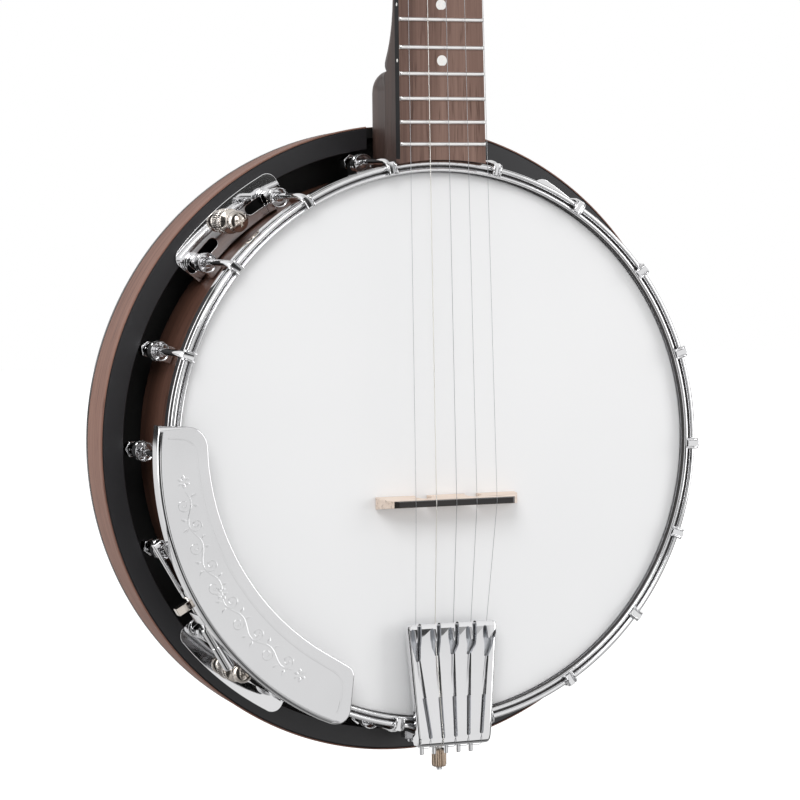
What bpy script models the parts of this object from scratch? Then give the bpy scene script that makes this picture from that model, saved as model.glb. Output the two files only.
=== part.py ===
"""A five-string banjo with an eleven-inch head and a resonator, standing upright.

The neck runs along +Z, the head faces -Y, and the origin is the centre of the resonator's flat back.
Depths are measured backwards from the head's face, so a depth d is the plane Y = HEAD_Y + d.
Angles round the pot are measured from +Z towards +X, about the pot's axis, which is the Y axis.
Separate pieces keep a gap of 0.3 mm to each other.
"""

from math import cos, pi, radians, sin, sqrt, tan

import bmesh
import bpy
from mathutils import Matrix, Vector

MM = 0.001
GAP = 0.3 * MM
SEGMENTS = 72                     # facets round the pot, with a facet's middle at every 5 degrees

# The pot: a wooden rim, a tone ring, a head, and a hoop that eighteen brackets pull down
HEAD_Y = -81.5 * MM
RIM_RADIUS = 139.7 * MM
RIM_WALL = 19.0 * MM
RIM_FRONT, RIM_BACK = 7.5 * MM, 66.0 * MM
RIM_INSIDE = RIM_RADIUS - RIM_WALL
FILM = 0.5 * MM
HEAD_SKIRT = RIM_RADIUS + GAP
FLESH_RADIUS = 143.6 * MM
FLESH_FRONT, FLESH_BACK = 3.4 * MM, 7.4 * MM
HOOP_INSIDE = 140.8 * MM
HOOP_RADIUS = 146.4 * MM
HOOP_FRONT, HOOP_BACK = -5.7 * MM, 7.0 * MM

# A tension bracket: a hook over the hoop, a shoe on the rim, and a nut
HOOK_RADIUS = 1.75 * MM
HOOK_FROM_AXIS = HOOP_RADIUS + GAP + HOOK_RADIUS
CLAW_WIDTH, CLAW_HEIGHT = 6.0 * MM, 2.6 * MM
SHOE_WIDTH = 10.4 * MM
SHOE_OUT = 152.8 * MM
SHOE_FRONT, SHOE_BACK = 31.0 * MM, 45.6 * MM
NUT_FRONT, NUT_BACK = 48.0 * MM, 54.5 * MM
NUT_RADIUS = 4.5 * MM
NECK_HOOK_ANGLE, LEFT_NECK_HOOK_ANGLE = 12.4, 10.7  # the two hooks beside the neck
HOOK_ANGLES = [NECK_HOOK_ANGLE, 32.6, 52.4, 71.9, 91.4, 110.6]
HOOK_ANGLES += [20.0 * k + 10.0 for k in range(6, 17)] + [360.0 - LEFT_NECK_HOOK_ANGLE]

# The resonator: a shell with a flat back, and a dark ring round its front
RING_INSIDE, RING_OUTSIDE = 153.8 * MM, 164.7 * MM
RING_FRONT, RING_BACK = 47.9 * MM, 51.4 * MM
SHELL_FRONT_RADIUS, SHELL_BACK_RADIUS = 165.8 * MM, 164.0 * MM
SHELL_INSIDE = 160.0 * MM
SHELL_BACK = -HEAD_Y
BACK_PLATE = 4.0 * MM
NOTCH_WIDTH, NOTCH_BACK = 38.0 * MM, 61.0 * MM

# Four plates clamped under pairs of shoes, each with a captive thumbscrew
PLATE_ANGLES = [42.5, 140.0, 220.0, 320.0]
PLATE_SPREAD = 13.0
PLATE_INSIDE, PLATE_OUTSIDE = 141.0 * MM, 160.0 * MM
PLATE_FRONT, PLATE_BACK = 46.0 * MM, 47.5 * MM
SCREW_FROM_AXIS = 151.3 * MM
SCREW_SHANK = 2.1 * MM
LUG_WIDTH, LUG_BACK = 20.0 * MM, 68.0 * MM
LUG_INSIDE = 147.0 * MM

# The neck, its fretboard and the strings' length
SCALE = 670.0 * MM
SCALE_START = -33.5 * MM
FRETS = 22
NECK_LEAN = tan(radians(0.7))
BOARD_START = 147.0 * MM
BOARD_FRONT_AT_START = -10.4 * MM
BOARD_THICKNESS = 6.0 * MM
BOARD_HALF = 23.65 * MM
NUT_Z = SCALE_START + SCALE
NUT_WIDTH, NUT_THICKNESS, NUT_CENTRE = 31.8 * MM, 4.7 * MM, 0.5 * MM
STEP_START, STEP_END = 467.0 * MM, 485.0 * MM
LEFT_AFTER_STEP = -17.0 * MM
HEEL_BACK, HEEL_TOP, HEEL_ROUND = 59.0 * MM, 192.0 * MM, 10.0 * MM
NECK_BACK_AT_HEEL = 26.0 * MM
FLARE_START, SHAFT_START = 197.0 * MM, 237.0 * MM
SHAFT_DEPTH, SHAFT_DEPTH_AT_NUT = 21.5 * MM, 20.5 * MM
FRET_HEIGHT, FRET_WIDTH = 1.1 * MM, 2.2 * MM

# The peghead, tilted back behind the nut, and its four tuners
PEGHEAD_TILT = radians(13.0)
PEGHEAD_LENGTH = 158.0 * MM
PEGHEAD_THICKNESS = 14.0 * MM
TUNER_ROWS = [(52.0 * MM, 21.0 * MM), (104.0 * MM, 25.0 * MM)]
POST_RADIUS, HOUSING_RADIUS, HOUSING_LENGTH = 3.0 * MM, 8.0 * MM, 17.0 * MM
POST_HEIGHT = 16.0 * MM
PEG_Z = 492.0 * MM
PEG_SHAFT = 2.6 * MM

# The strings over the bridge and the tailpiece, which stand a little to the right of the pot's middle
BRIDGE_Z, BRIDGE_CENTRE = -28.6 * MM, 4.2 * MM
BRIDGE_HEIGHT, BRIDGE_BASE, BRIDGE_TOP = 15.2 * MM, 78.0 * MM, 64.4 * MM
BRIDGE_FOOT_DEPTH, BRIDGE_TOP_DEPTH = 6.4 * MM, 3.0 * MM
BRIDGE_SPACING, NUT_SPACING, TAIL_SPACING = 11.3 * MM, 8.5 * MM, 9.5 * MM
STRING_RADII = [0.16 * MM, 0.18 * MM, 0.20 * MM, 0.28 * MM, 0.16 * MM]
TAIL_CENTRE = 3.6 * MM
TAIL_FRONT_Z, TAIL_BACK_Z = -91.0 * MM, -155.0 * MM
TAIL_FRONT_HALF, TAIL_BACK_HALF = 25.2 * MM, 20.2 * MM
TAIL_FRONT_TOP, TAIL_BACK_TOP = -10.5 * MM, -13.5 * MM
TAIL_PLATE = 2.2 * MM
PIN_SPACING, PIN_CENTRE = 6.9 * MM, 2.6 * MM
ROD_DEPTH, ROD_RADIUS, ROD_HOLE = 36.0 * MM, 3.5 * MM, 3.9 * MM
KNOB_DEPTH = 9.0 * MM

# The armrest: a plate over the hoop between two arcs, and its turnbuckle clamp
ARM_TOP, ARM_PLATE = -13.8 * MM, 1.8 * MM
ARM_FLANGE_BACK = -5.4 * MM
ARM_OUTER_RADIUS = 150.3 * MM
ARM_OUTER_CENTRE = (-5.1 * MM, -1.0 * MM)
ARM_INNER_RADIUS = 129.6 * MM
ARM_INNER_CENTRE = (0.5 * MM, 8.4 * MM)
ARM_START, ARM_END = -83.5, -154.0
CLAMP_ANGLE = -120.0
CLAMP_FROM_AXIS, CLAMP_DEPTH = 152.6 * MM, 3.0 * MM

TURN_Y_TO = {
    "x": Matrix.Rotation(-pi / 2, 4, "Z"),
    "z": Matrix.Rotation(pi / 2, 4, "X"),
    "-z": Matrix.Rotation(-pi / 2, 4, "X"),
}


# ---------------------------------------------------------------- materials

def material(name, colour, metallic, roughness):
    made = bpy.data.materials.new(name)
    made.use_nodes = True
    shader = made.node_tree.nodes["Principled BSDF"]
    shader.inputs["Base Color"].default_value = (*colour, 1.0)
    shader.inputs["Metallic"].default_value = metallic
    shader.inputs["Roughness"].default_value = roughness
    made.diffuse_color = (*colour, 1.0)
    return made


def make_materials():
    return {
        "chrome": material("chrome", (0.80, 0.80, 0.81), 1.0, 0.08),
        "nickel": material("nickel", (0.70, 0.64, 0.55), 1.0, 0.22),
        "steel": material("steel", (0.62, 0.62, 0.63), 1.0, 0.30),
        "brass": material("brass", (0.72, 0.53, 0.25), 1.0, 0.30),
        "walnut": material("walnut", (0.22, 0.12, 0.08), 0.0, 0.45),
        "neck_wood": material("neck_wood", (0.13, 0.07, 0.05), 0.0, 0.40),
        "rosewood": material("rosewood", (0.12, 0.075, 0.06), 0.0, 0.55),
        "black_satin": material("black_satin", (0.03, 0.03, 0.032), 0.0, 0.45),
        "head_film": material("head_film", (0.84, 0.84, 0.85), 0.0, 0.70),
        "maple": material("maple", (0.78, 0.62, 0.48), 0.0, 0.50),
        "bone": material("bone", (0.86, 0.83, 0.74), 0.0, 0.40),
        "pearl": material("pearl", (0.88, 0.86, 0.80), 0.0, 0.25),
    }


# ---------------------------------------------------------------- shape helpers

def depth(d):
    """The Y of a depth behind the head's face."""
    return HEAD_Y + d


def turned(profile, segments, phase=0.5, closed=True):
    """A profile of (radius, y) turned about the Y axis. Radius 0 makes a pole."""
    bm = bmesh.new()
    angles = [2 * pi * (i + phase) / segments for i in range(segments)]
    rings = []
    for radius, y in profile:
        if radius == 0:
            rings.append([bm.verts.new((0, y, 0))] * segments)
        else:
            rings.append([bm.verts.new((radius * sin(a), y, radius * cos(a))) for a in angles])
    pairs = list(zip(rings, rings[1:]))
    if closed:
        pairs.append((rings[-1], rings[0]))
    for first, second in pairs:
        for i in range(segments):
            j = (i + 1) % segments
            corners = []
            for corner in (first[i], first[j], second[j], second[i]):
                if corner not in corners:
                    corners.append(corner)
            if len(corners) > 2:
                bm.faces.new(corners)
    bmesh.ops.recalc_face_normals(bm, faces=bm.faces)
    return bm


def lofted(sections):
    """A closed skin through sections of equally many points, capped at both ends."""
    bm = bmesh.new()
    rings = [[bm.verts.new(point) for point in section] for section in sections]
    count = len(rings[0])
    for first, second in zip(rings, rings[1:]):
        for i in range(count):
            j = (i + 1) % count
            bm.faces.new((first[i], first[j], second[j], second[i]))
    bm.faces.new(rings[0])
    bm.faces.new(rings[-1])
    bmesh.ops.recalc_face_normals(bm, faces=bm.faces)
    return bm


def extruded(outline, front, back):
    """An outline of (x, z) points between two planes of constant Y."""
    return lofted([[(x, y, z) for x, z in outline] for y in (front, back)])


def box(low, high):
    outline = [(low[0], low[2]), (high[0], low[2]), (high[0], high[2]), (low[0], high[2])]
    return extruded(outline, low[1], high[1])


def moved(bm, matrix):
    bmesh.ops.transform(bm, matrix=matrix, verts=bm.verts)
    return bm


def rod(radius, start, end, sides):
    """A round bar between two points."""
    along = Vector(end) - Vector(start)
    bm = bmesh.new()
    bmesh.ops.create_cone(
        bm, cap_ends=True, segments=sides, radius1=radius, radius2=radius, depth=along.length
    )
    turn = Vector((0, 0, 1)).rotation_difference(along).to_matrix().to_4x4()
    middle = (Vector(start) + Vector(end)) / 2
    return moved(bm, Matrix.Translation(middle) @ turn)


def about_pot(angle):
    """The turn that takes a piece built at the top of the pot round to an angle in degrees."""
    return Matrix.Rotation(radians(angle), 4, "Y")


def arc(centre, radius, start, end, steps):
    """Points of (x, z) on an arc. Angles run in degrees from +Z towards +X."""
    found = []
    for i in range(steps + 1):
        a = radians(start + (end - start) * i / steps)
        found.append((centre[0] + radius * sin(a), centre[1] + radius * cos(a)))
    return found


def rounded_corner(before, corner, after, radius, steps=4):
    """The arc that rounds one corner of an outline of (x, z) points."""
    to_before = Vector((before[0] - corner[0], before[1] - corner[1])).normalized()
    to_after = Vector((after[0] - corner[0], after[1] - corner[1])).normalized()
    half = to_before.angle(to_after) / 2
    centre = Vector(corner) + (to_before + to_after).normalized() * radius / sin(half)
    first = Vector(corner) + to_before * radius / tan(half) - centre
    last = Vector(corner) + to_after * radius / tan(half) - centre
    found = []
    for i in range(steps + 1):
        point = first.lerp(last, i / steps).normalized() * radius + centre
        found.append((point.x, point.y))
    return found


def as_object(name, bm, mat=None):
    mesh = bpy.data.meshes.new(name)
    bm.to_mesh(mesh)
    bm.free()
    made = bpy.data.objects.new(name, mesh)
    if mat:
        mesh.materials.append(mat)
    bpy.context.collection.objects.link(made)
    return made


def combined(base, others, operation):
    """The mesh of one bmesh with others joined to it or cut from it, one Boolean for each."""
    target = as_object("combining", base)
    helpers = []
    for other in others:
        helper = as_object("helper", other)
        helpers.append(helper)
        boolean = target.modifiers.new("Boolean", "BOOLEAN")
        boolean.operation = operation
        boolean.object = helper
    bpy.context.view_layer.update()
    graph = bpy.context.evaluated_depsgraph_get()
    mesh = bpy.data.meshes.new_from_object(target.evaluated_get(graph))
    bm = bmesh.new()
    bm.from_mesh(mesh)
    bpy.data.meshes.remove(mesh)
    for used in helpers + [target]:
        data = used.data
        bpy.data.objects.remove(used)
        bpy.data.meshes.remove(data)
    return bm


def fused(base, *others):
    return combined(base, others, "UNION")


def cut(base, *cutters):
    return combined(base, cutters, "DIFFERENCE")


def node(name, bm, mat, origin=(0, 0, 0), smooth_angle=35.0):
    """The finished object of one node, with its origin where asked."""
    moved(bm, Matrix.Translation(-Vector(origin)))
    made = as_object(name, bm, mat)
    made.location = origin
    made.data.shade_smooth()
    made.data.set_sharp_from_angle(angle=radians(smooth_angle))
    return made


# ---------------------------------------------------------------- the pot

def build_rim(mats):
    profile = [
        (RIM_INSIDE, depth(RIM_FRONT)),
        (RIM_RADIUS, depth(RIM_FRONT)),
        (RIM_RADIUS, depth(RIM_BACK)),
        (RIM_INSIDE, depth(RIM_BACK)),
    ]
    reach = RIM_RADIUS + 10 * MM
    y = depth(ROD_DEPTH)
    hole = rod(ROD_HOLE, (0, y, -reach), (0, y, reach), 16)
    node("rim", cut(turned(profile, SEGMENTS), hole), mats["walnut"])


def build_tone_ring(mats):
    middle, centre, half = 135.6 * MM, 3.95 * MM, 3.1 * MM
    profile = []
    for i in range(5):
        a = 2 * pi * i / 5
        profile.append((middle + half * sin(a), depth(centre - half * cos(a))))
    node("tone_ring", turned(profile, SEGMENTS), mats["brass"])


def build_drum_head(mats):
    collar = HEAD_SKIRT + FILM
    profile = [
        (0, depth(0)),
        (collar - 0.4 * MM, depth(0)),
        (collar, depth(0.4 * MM)),
        (collar, depth(FLESH_FRONT)),
        (FLESH_RADIUS, depth(FLESH_FRONT)),
        (FLESH_RADIUS, depth(FLESH_BACK)),
        (HEAD_SKIRT, depth(FLESH_BACK)),
        (HEAD_SKIRT, depth(FILM)),
        (0, depth(FILM)),
    ]
    node("drum_head", turned(profile, SEGMENTS, closed=False), mats["head_film"])


def build_tension_hoop(mats):
    ledge = FLESH_FRONT - 0.4 * MM
    skirt = FLESH_RADIUS + 0.5 * MM
    profile = [
        (HOOP_INSIDE, depth(HOOP_FRONT + 0.6 * MM)),
        (HOOP_INSIDE + 0.6 * MM, depth(HOOP_FRONT)),
        (HOOP_RADIUS - 1.6 * MM, depth(HOOP_FRONT)),
        (HOOP_RADIUS, depth(HOOP_FRONT + 2.1 * MM)),
        (HOOP_RADIUS, depth(HOOP_BACK - 1.0 * MM)),
        (HOOP_RADIUS - 0.8 * MM, depth(HOOP_BACK)),
        (skirt, depth(HOOP_BACK)),
        (skirt, depth(ledge)),
        (HOOP_INSIDE, depth(ledge)),
    ]
    node("tension_hoop", turned(profile, SEGMENTS), mats["chrome"])


def tension_bracket_shape():
    """Hook, shoe and nut of one bracket at the top of the pot."""
    claw_back = HOOP_FRONT - GAP
    claw_front = claw_back - CLAW_HEIGHT
    half = CLAW_WIDTH / 2
    claw = box(
        (-half, depth(claw_front), HOOP_INSIDE + 0.5 * MM),
        (half, depth(claw_back), HOOK_FROM_AXIS + HOOK_RADIUS + 0.25 * MM),
    )
    bmesh.ops.bevel(
        claw,
        geom=[e for e in claw.edges if all(v.co.y < depth(claw_back) - MM for v in e.verts)],
        offset=0.9 * MM,
        segments=1,
        affect="EDGES",
    )
    shaft = rod(
        HOOK_RADIUS,
        (0, depth(claw_front + 0.8 * MM), HOOK_FROM_AXIS),
        (0, depth(NUT_BACK + 2 * MM), HOOK_FROM_AXIS),
        7,
    )
    shoe_round = SHOE_OUT - SHOE_WIDTH / 2
    foot = RIM_RADIUS + 0.4 * MM
    waist = [
        (SHOE_FRONT, 1.0),
        (SHOE_FRONT + 5 * MM, 1.0),
        (SHOE_FRONT + 6 * MM, 0.86),
        (SHOE_BACK, 0.86),
    ]
    sections = []
    for d, share in waist:
        half = SHOE_WIDTH / 2 * share
        outline = [(-half, foot)] + arc((0, shoe_round), half, -90, 90, 5) + [(half, foot)]
        sections.append([(x, depth(d), z) for x, z in outline])
    nut = rod(
        NUT_RADIUS,
        (0, depth(NUT_FRONT), HOOK_FROM_AXIS),
        (0, depth(NUT_BACK), HOOK_FROM_AXIS),
        6,
    )
    return fused(claw, shaft, lofted(sections), nut)


def build_tension_brackets(mats):
    shape = tension_bracket_shape()
    for number, angle in enumerate(HOOK_ANGLES, start=1):
        made = node("tension_bracket_%02d" % number, shape.copy(), mats["chrome"])
        made.rotation_euler = (0, radians(angle), 0)
    shape.free()


# ---------------------------------------------------------------- the resonator and its plates

def neck_notch():
    """The space that the heel needs in the resonator's edge."""
    half = NOTCH_WIDTH / 2
    return box(
        (-half, depth(RING_FRONT - 10 * MM), RIM_RADIUS),
        (half, depth(NOTCH_BACK), SHELL_FRONT_RADIUS + 20 * MM),
    )


def build_resonator(mats):
    lip_inside = RING_OUTSIDE + GAP
    lug_front = RING_BACK + GAP
    inner_back = SHELL_BACK - BACK_PLATE
    profile = [
        (0, depth(SHELL_BACK)),
        (SHELL_BACK_RADIUS - 1.5 * MM, depth(SHELL_BACK)),
        (SHELL_BACK_RADIUS, depth(SHELL_BACK - 1.5 * MM)),
        (SHELL_FRONT_RADIUS, depth(RING_FRONT + 0.4 * MM)),
        (lip_inside, depth(RING_FRONT + 0.4 * MM)),
        (lip_inside, depth(lug_front)),
        (SHELL_INSIDE, depth(lug_front)),
        (SHELL_INSIDE - 2 * MM, depth(inner_back)),
        (0, depth(inner_back)),
    ]
    shell = turned(profile, SEGMENTS, closed=False)
    half = LUG_WIDTH / 2
    lugs = []
    bores = []
    for angle in PLATE_ANGLES:
        lug = box(
            (-half, depth(lug_front + 0.5 * MM), LUG_INSIDE),
            (half, depth(LUG_BACK), SHELL_INSIDE + 2 * MM),
        )
        bore = rod(
            SCREW_SHANK + 0.4 * MM,
            (0, depth(RING_FRONT), SCREW_FROM_AXIS),
            (0, depth(LUG_BACK - 3 * MM), SCREW_FROM_AXIS),
            12,
        )
        lugs.append(moved(lug, about_pot(angle)))
        bores.append(moved(bore, about_pot(angle)))
    node("resonator_shell", cut(fused(shell, *lugs), neck_notch(), *bores), mats["walnut"])

    ring = turned(
        [
            (RING_INSIDE, depth(RING_FRONT)),
            (RING_OUTSIDE - 0.5 * MM, depth(RING_FRONT)),
            (RING_OUTSIDE, depth(RING_FRONT + 0.5 * MM)),
            (RING_OUTSIDE, depth(RING_BACK)),
            (RING_INSIDE, depth(RING_BACK)),
        ],
        SEGMENTS,
    )
    node("resonator_ring", cut(ring, neck_notch()), mats["black_satin"])


def plate_outline():
    corner = 6.0 * MM
    inner = arc((0, 0), PLATE_INSIDE, PLATE_SPREAD, -PLATE_SPREAD, 6)
    outer = arc((0, 0), PLATE_OUTSIDE, -PLATE_SPREAD, PLATE_SPREAD, 8)
    first = rounded_corner(inner[-1], outer[0], outer[1], corner, 3)
    last = rounded_corner(outer[-2], outer[-1], inner[0], corner, 3)
    between = [p for p in outer if abs(p[0]) < min(abs(first[-1][0]), abs(last[0][0])) - MM]
    return inner + first + between + last


def slot_outline(middle):
    """A round-ended slot along the plate, at an angle from its middle."""
    reach, half_width = 3.2, 2.7 * MM
    outer = arc((0, 0), HOOK_FROM_AXIS + half_width, middle - reach, middle + reach, 2)
    inner = arc((0, 0), HOOK_FROM_AXIS - half_width, middle + reach, middle - reach, 2)
    right = arc(arc((0, 0), HOOK_FROM_AXIS, middle + reach, 0, 1)[0], half_width, middle, middle + 180, 4)
    left = arc(arc((0, 0), HOOK_FROM_AXIS, middle - reach, 0, 1)[0], half_width, middle + 180, middle + 360, 4)
    return outer[1:-1] + right + inner[1:-1] + left


def flange_bracket_shape():
    plate = extruded(plate_outline(), depth(PLATE_FRONT), depth(PLATE_BACK))
    cutters = []
    for side in (-1, 1):
        outline = slot_outline(side * 8.4)
        cutters.append(extruded(outline, depth(PLATE_FRONT - MM), depth(PLATE_BACK + MM)))
    cutters.append(
        rod(
            SCREW_SHANK + 0.4 * MM,
            (0, depth(PLATE_FRONT - MM), SCREW_FROM_AXIS),
            (0, depth(PLATE_BACK + MM), SCREW_FROM_AXIS),
            12,
        )
    )
    return cut(plate, *cutters)


def resonator_screw_shape():
    """A captive thumbscrew, turned about its own axis, with its head towards -Y."""
    profile = [
        (0, 25.0),
        (2.6, 25.4),
        (4.4, 26.8),
        (5.2, 29.0),
        (5.2, 32.4),
        (4.2, 33.6),
        (4.0, 38.6),
        (6.4, 39.4),
        (6.4, 44.6),
        (5.6, 45.6),
        (SCREW_SHANK / MM, 45.6),
        (SCREW_SHANK / MM, 64.0),
        (0, 64.0),
    ]
    return turned([(r * MM, depth(d * MM)) for r, d in profile], 14, closed=False)


def build_flange_brackets(mats):
    plate = flange_bracket_shape()
    screw = resonator_screw_shape()
    for number, angle in enumerate(PLATE_ANGLES, start=1):
        made = node("flange_bracket_%d" % number, plate.copy(), mats["chrome"])
        made.rotation_euler = (0, radians(angle), 0)
        turned_screw = node("resonator_screw_%d" % number, screw.copy(), mats["nickel"])
        turned_screw.location = about_pot(angle) @ Vector((0, 0, SCREW_FROM_AXIS))
    plate.free()
    screw.free()


# ---------------------------------------------------------------- neck, fretboard and peghead

def board_front(z):
    """The depth of the fretboard's face, which leans back towards the peghead."""
    return BOARD_FRONT_AT_START + (z - BOARD_START) * NECK_LEAN


def right_edge(z):
    end = NUT_CENTRE + NUT_WIDTH / 2
    return BOARD_HALF + (end - BOARD_HALF) * (z - BOARD_START) / (NUT_Z - BOARD_START)


def left_edge(z):
    """The fifth string's side: wide up to the fifth fret, then narrow to the nut."""
    end = NUT_CENTRE - NUT_WIDTH / 2
    narrow = LEFT_AFTER_STEP + (end - LEFT_AFTER_STEP) * (z - STEP_END) / (NUT_Z - STEP_END)
    share = min(max((z - STEP_START) / (STEP_END - STEP_START), 0), 1)
    return -BOARD_HALF + (narrow + BOARD_HALF) * (1 - cos(pi * share)) / 2


def neck_back(z):
    """The depth of the neck's back: a block of a heel, a flare, then the shaft."""
    if z <= HEEL_TOP:
        rise = max((z - HEEL_TOP + HEEL_ROUND) / HEEL_ROUND, 0)
        return NECK_BACK_AT_HEEL + (HEEL_BACK - NECK_BACK_AT_HEEL) * sqrt(max(1 - rise * rise, 0))
    along = (z - SHAFT_START) / (NUT_Z - SHAFT_START)
    shaft = board_front(z) + SHAFT_DEPTH + (SHAFT_DEPTH_AT_NUT - SHAFT_DEPTH) * max(along, 0)
    if z >= SHAFT_START:
        return shaft
    return NECK_BACK_AT_HEEL + (shaft - NECK_BACK_AT_HEEL) * flare_share(z)


def flare_share(z):
    """0 where the neck leaves the heel, 1 where the shaft has its own shape."""
    share = min(max((z - FLARE_START) / (SHAFT_START - FLARE_START), 0), 1)
    return 1 - (1 - share) ** 2


SHAFT_SECTION = [(1.0, 0.0), (1.0, 0.10), (0.93, 0.36), (0.79, 0.62), (0.58, 0.83), (0.31, 0.96)]
FLARE_SECTION = [(1.0, 0.0), (1.0, 0.38), (0.965, 0.56), (0.86, 0.76), (0.64, 0.91), (0.34, 0.98)]
HEEL_SECTION = [(1.0, 0.0), (1.0, 0.23), (0.85, 0.33), (0.75, 0.60), (0.62, 0.86), (0.34, 0.97)]


def blended(first, second, share):
    return [(w1 + (w2 - w1) * share, d1 + (d2 - d1) * share) for (w1, d1), (w2, d2) in zip(first, second)]


def neck_section(z):
    """The neck's outline across at a height: flat under the fretboard, round at the back."""
    front = board_front(z) + BOARD_THICKNESS + GAP
    back = neck_back(z)
    heel_share = min(max((HEEL_TOP + 2 * MM - z) / HEEL_ROUND, 0), 1)
    left, right = left_edge(z), right_edge(z)
    middle, half = (left + right) / 2, (right - left) / 2
    shape = blended(blended(FLARE_SECTION, SHAFT_SECTION, flare_share(z)), HEEL_SECTION, heel_share)
    side = [(half * width, front + (back - front) * down) for width, down in shape]
    points = [(middle + w, d) for w, d in side] + [(middle, back)]
    points += [(middle - w, d) for w, d in reversed(side)]
    return [(x, depth(d), z) for x, d in points]


def peghead_matrix():
    """Peghead coordinates to the world: x across, y backwards from its face, z towards its tip."""
    start = Vector((NUT_CENTRE, depth(board_front(NUT_Z) + BOARD_THICKNESS + GAP), NUT_Z + NUT_THICKNESS))
    return Matrix.Translation(start) @ Matrix.Rotation(-PEGHEAD_TILT, 4, "X")


def peghead_outline():
    """Half widths along the peghead: a waist, two soft shoulders and a low crown."""
    along = [(1, 16.2), (8, 17.5), (20, 24.0), (34, 33.0), (52, 34.5), (78, 35.5)]
    along += [(108, 38.5), (128, 39.5), (140, 35.0), (148, 24.0), (153, 15.0), (158, 0)]
    right = [(w * MM, s * MM) for s, w in along]
    left = [(-x, s) for x, s in reversed(right[:-1])]
    return right + left


def tuner_places():
    """(x, z) of each tuner on the peghead: the third and fourth strings' first, then the others."""
    (low, low_half), (high, high_half) = TUNER_ROWS
    return [(low_half, low), (high_half, high), (-high_half, high), (-low_half, low)]


def build_neck(mats):
    stations = [139, 150, 165, 182, 185, 188, 190.5, 192, 197, 202, 208, 215, 225, 237, 300, 400]
    stations += [467, 471, 476, 481, 485, 560, 620, 646]
    shaft = lofted([neck_section(z * MM) for z in stations])
    peghead = extruded(peghead_outline(), 0, PEGHEAD_THICKNESS)
    moved(peghead, peghead_matrix())
    cutters = [
        turned_disc(RIM_RADIUS + GAP, -30 * MM, 80 * MM),
        turned_disc(HOOP_RADIUS + GAP, -30 * MM, FLESH_BACK + GAP),
        rod(ROD_HOLE, (0, depth(ROD_DEPTH), 130 * MM), (0, depth(ROD_DEPTH), 162 * MM), 16),
        rod(PEG_SHAFT + GAP, peg_point(-30 * MM), peg_point(-2 * MM), 12),
    ]
    for x, z in tuner_places():
        hole = rod(POST_RADIUS + 1.2 * MM, (x, -5 * MM, z), (x, PEGHEAD_THICKNESS + 5 * MM, z), 14)
        cutters.append(moved(hole, peghead_matrix()))
    node("neck", cut(fused(shaft, peghead), *cutters), mats["neck_wood"])


def turned_disc(radius, front, back):
    profile = [(0, depth(front)), (radius, depth(front)), (radius, depth(back)), (0, depth(back))]
    return turned(profile, SEGMENTS, closed=False)


def fret_z(number):
    """Where a fret crosses the fretboard, by the rule of equal temperament."""
    return SCALE_START + SCALE * 2 ** (-number / 12)


def build_fretboard(mats):
    end = NUT_Z - GAP
    stations = [BOARD_START, STEP_START]
    stations += [STEP_START + (STEP_END - STEP_START) * i / 4 for i in range(1, 5)] + [end]
    sections = []
    for z in stations:
        front, back = depth(board_front(z)), depth(board_front(z) + BOARD_THICKNESS)
        left, right = left_edge(z), right_edge(z)
        sections.append([(left, front, z), (right, front, z), (right, back, z), (left, back, z)])
    frets = bmesh.new()
    for number in range(1, FRETS + 1):
        add_fret(frets, fret_z(number))
    node("fretboard", fused(lofted(sections), frets), mats["rosewood"])


def add_fret(bm, z):
    """One fret crown, sunk a little into the board, added to a shared mesh."""
    across = [(-0.5, -0.6), (-0.5, 0.35), (-0.2, 1.0), (0.2, 1.0), (0.5, 0.35), (0.5, -0.6)]
    sections = []
    for x in (left_edge(z) + 0.2 * MM, right_edge(z) - 0.2 * MM):
        section = []
        for w, h in across:
            place = z + w * FRET_WIDTH
            section.append((x, depth(board_front(place) - h * FRET_HEIGHT), place))
        sections.append(section)
    fret = lofted(sections)
    mesh = bpy.data.meshes.new("fret")
    fret.to_mesh(mesh)
    fret.free()
    bm.from_mesh(mesh)
    bpy.data.meshes.remove(mesh)


def build_nut(mats):
    half = NUT_WIDTH / 2
    front = board_front(NUT_Z) - 2.0 * MM
    bm = box(
        (NUT_CENTRE - half, depth(front), NUT_Z),
        (NUT_CENTRE + half, depth(board_front(NUT_Z) + BOARD_THICKNESS - 0.3 * MM), NUT_Z + NUT_THICKNESS - GAP),
    )
    top = [e for e in bm.edges if all(v.co.y < depth(front + MM) for v in e.verts)]
    bmesh.ops.bevel(bm, geom=top, offset=0.6 * MM, segments=1, affect="EDGES")
    node("nut", bm, mats["bone"])


# ---------------------------------------------------------------- tuners

def oval_button(length, width, thick, foot):
    """A tuner's button as a flat oval between two bevelled faces, standing on a shaft along Y."""
    sections = []
    for y, share in ((foot, 0.55), (foot + 0.15 * length, 0.9), (foot + 0.5 * length, 1.0),
                     (foot + 0.85 * length, 0.9), (foot + length, 0.55)):
        ring = []
        for i in range(12):
            a = 2 * pi * i / 12
            ring.append((width / 2 * share * cos(a), y, thick / 2 * (0.6 + 0.4 * share) * sin(a)))
        sections.append(ring)
    return lofted(sections)


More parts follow.
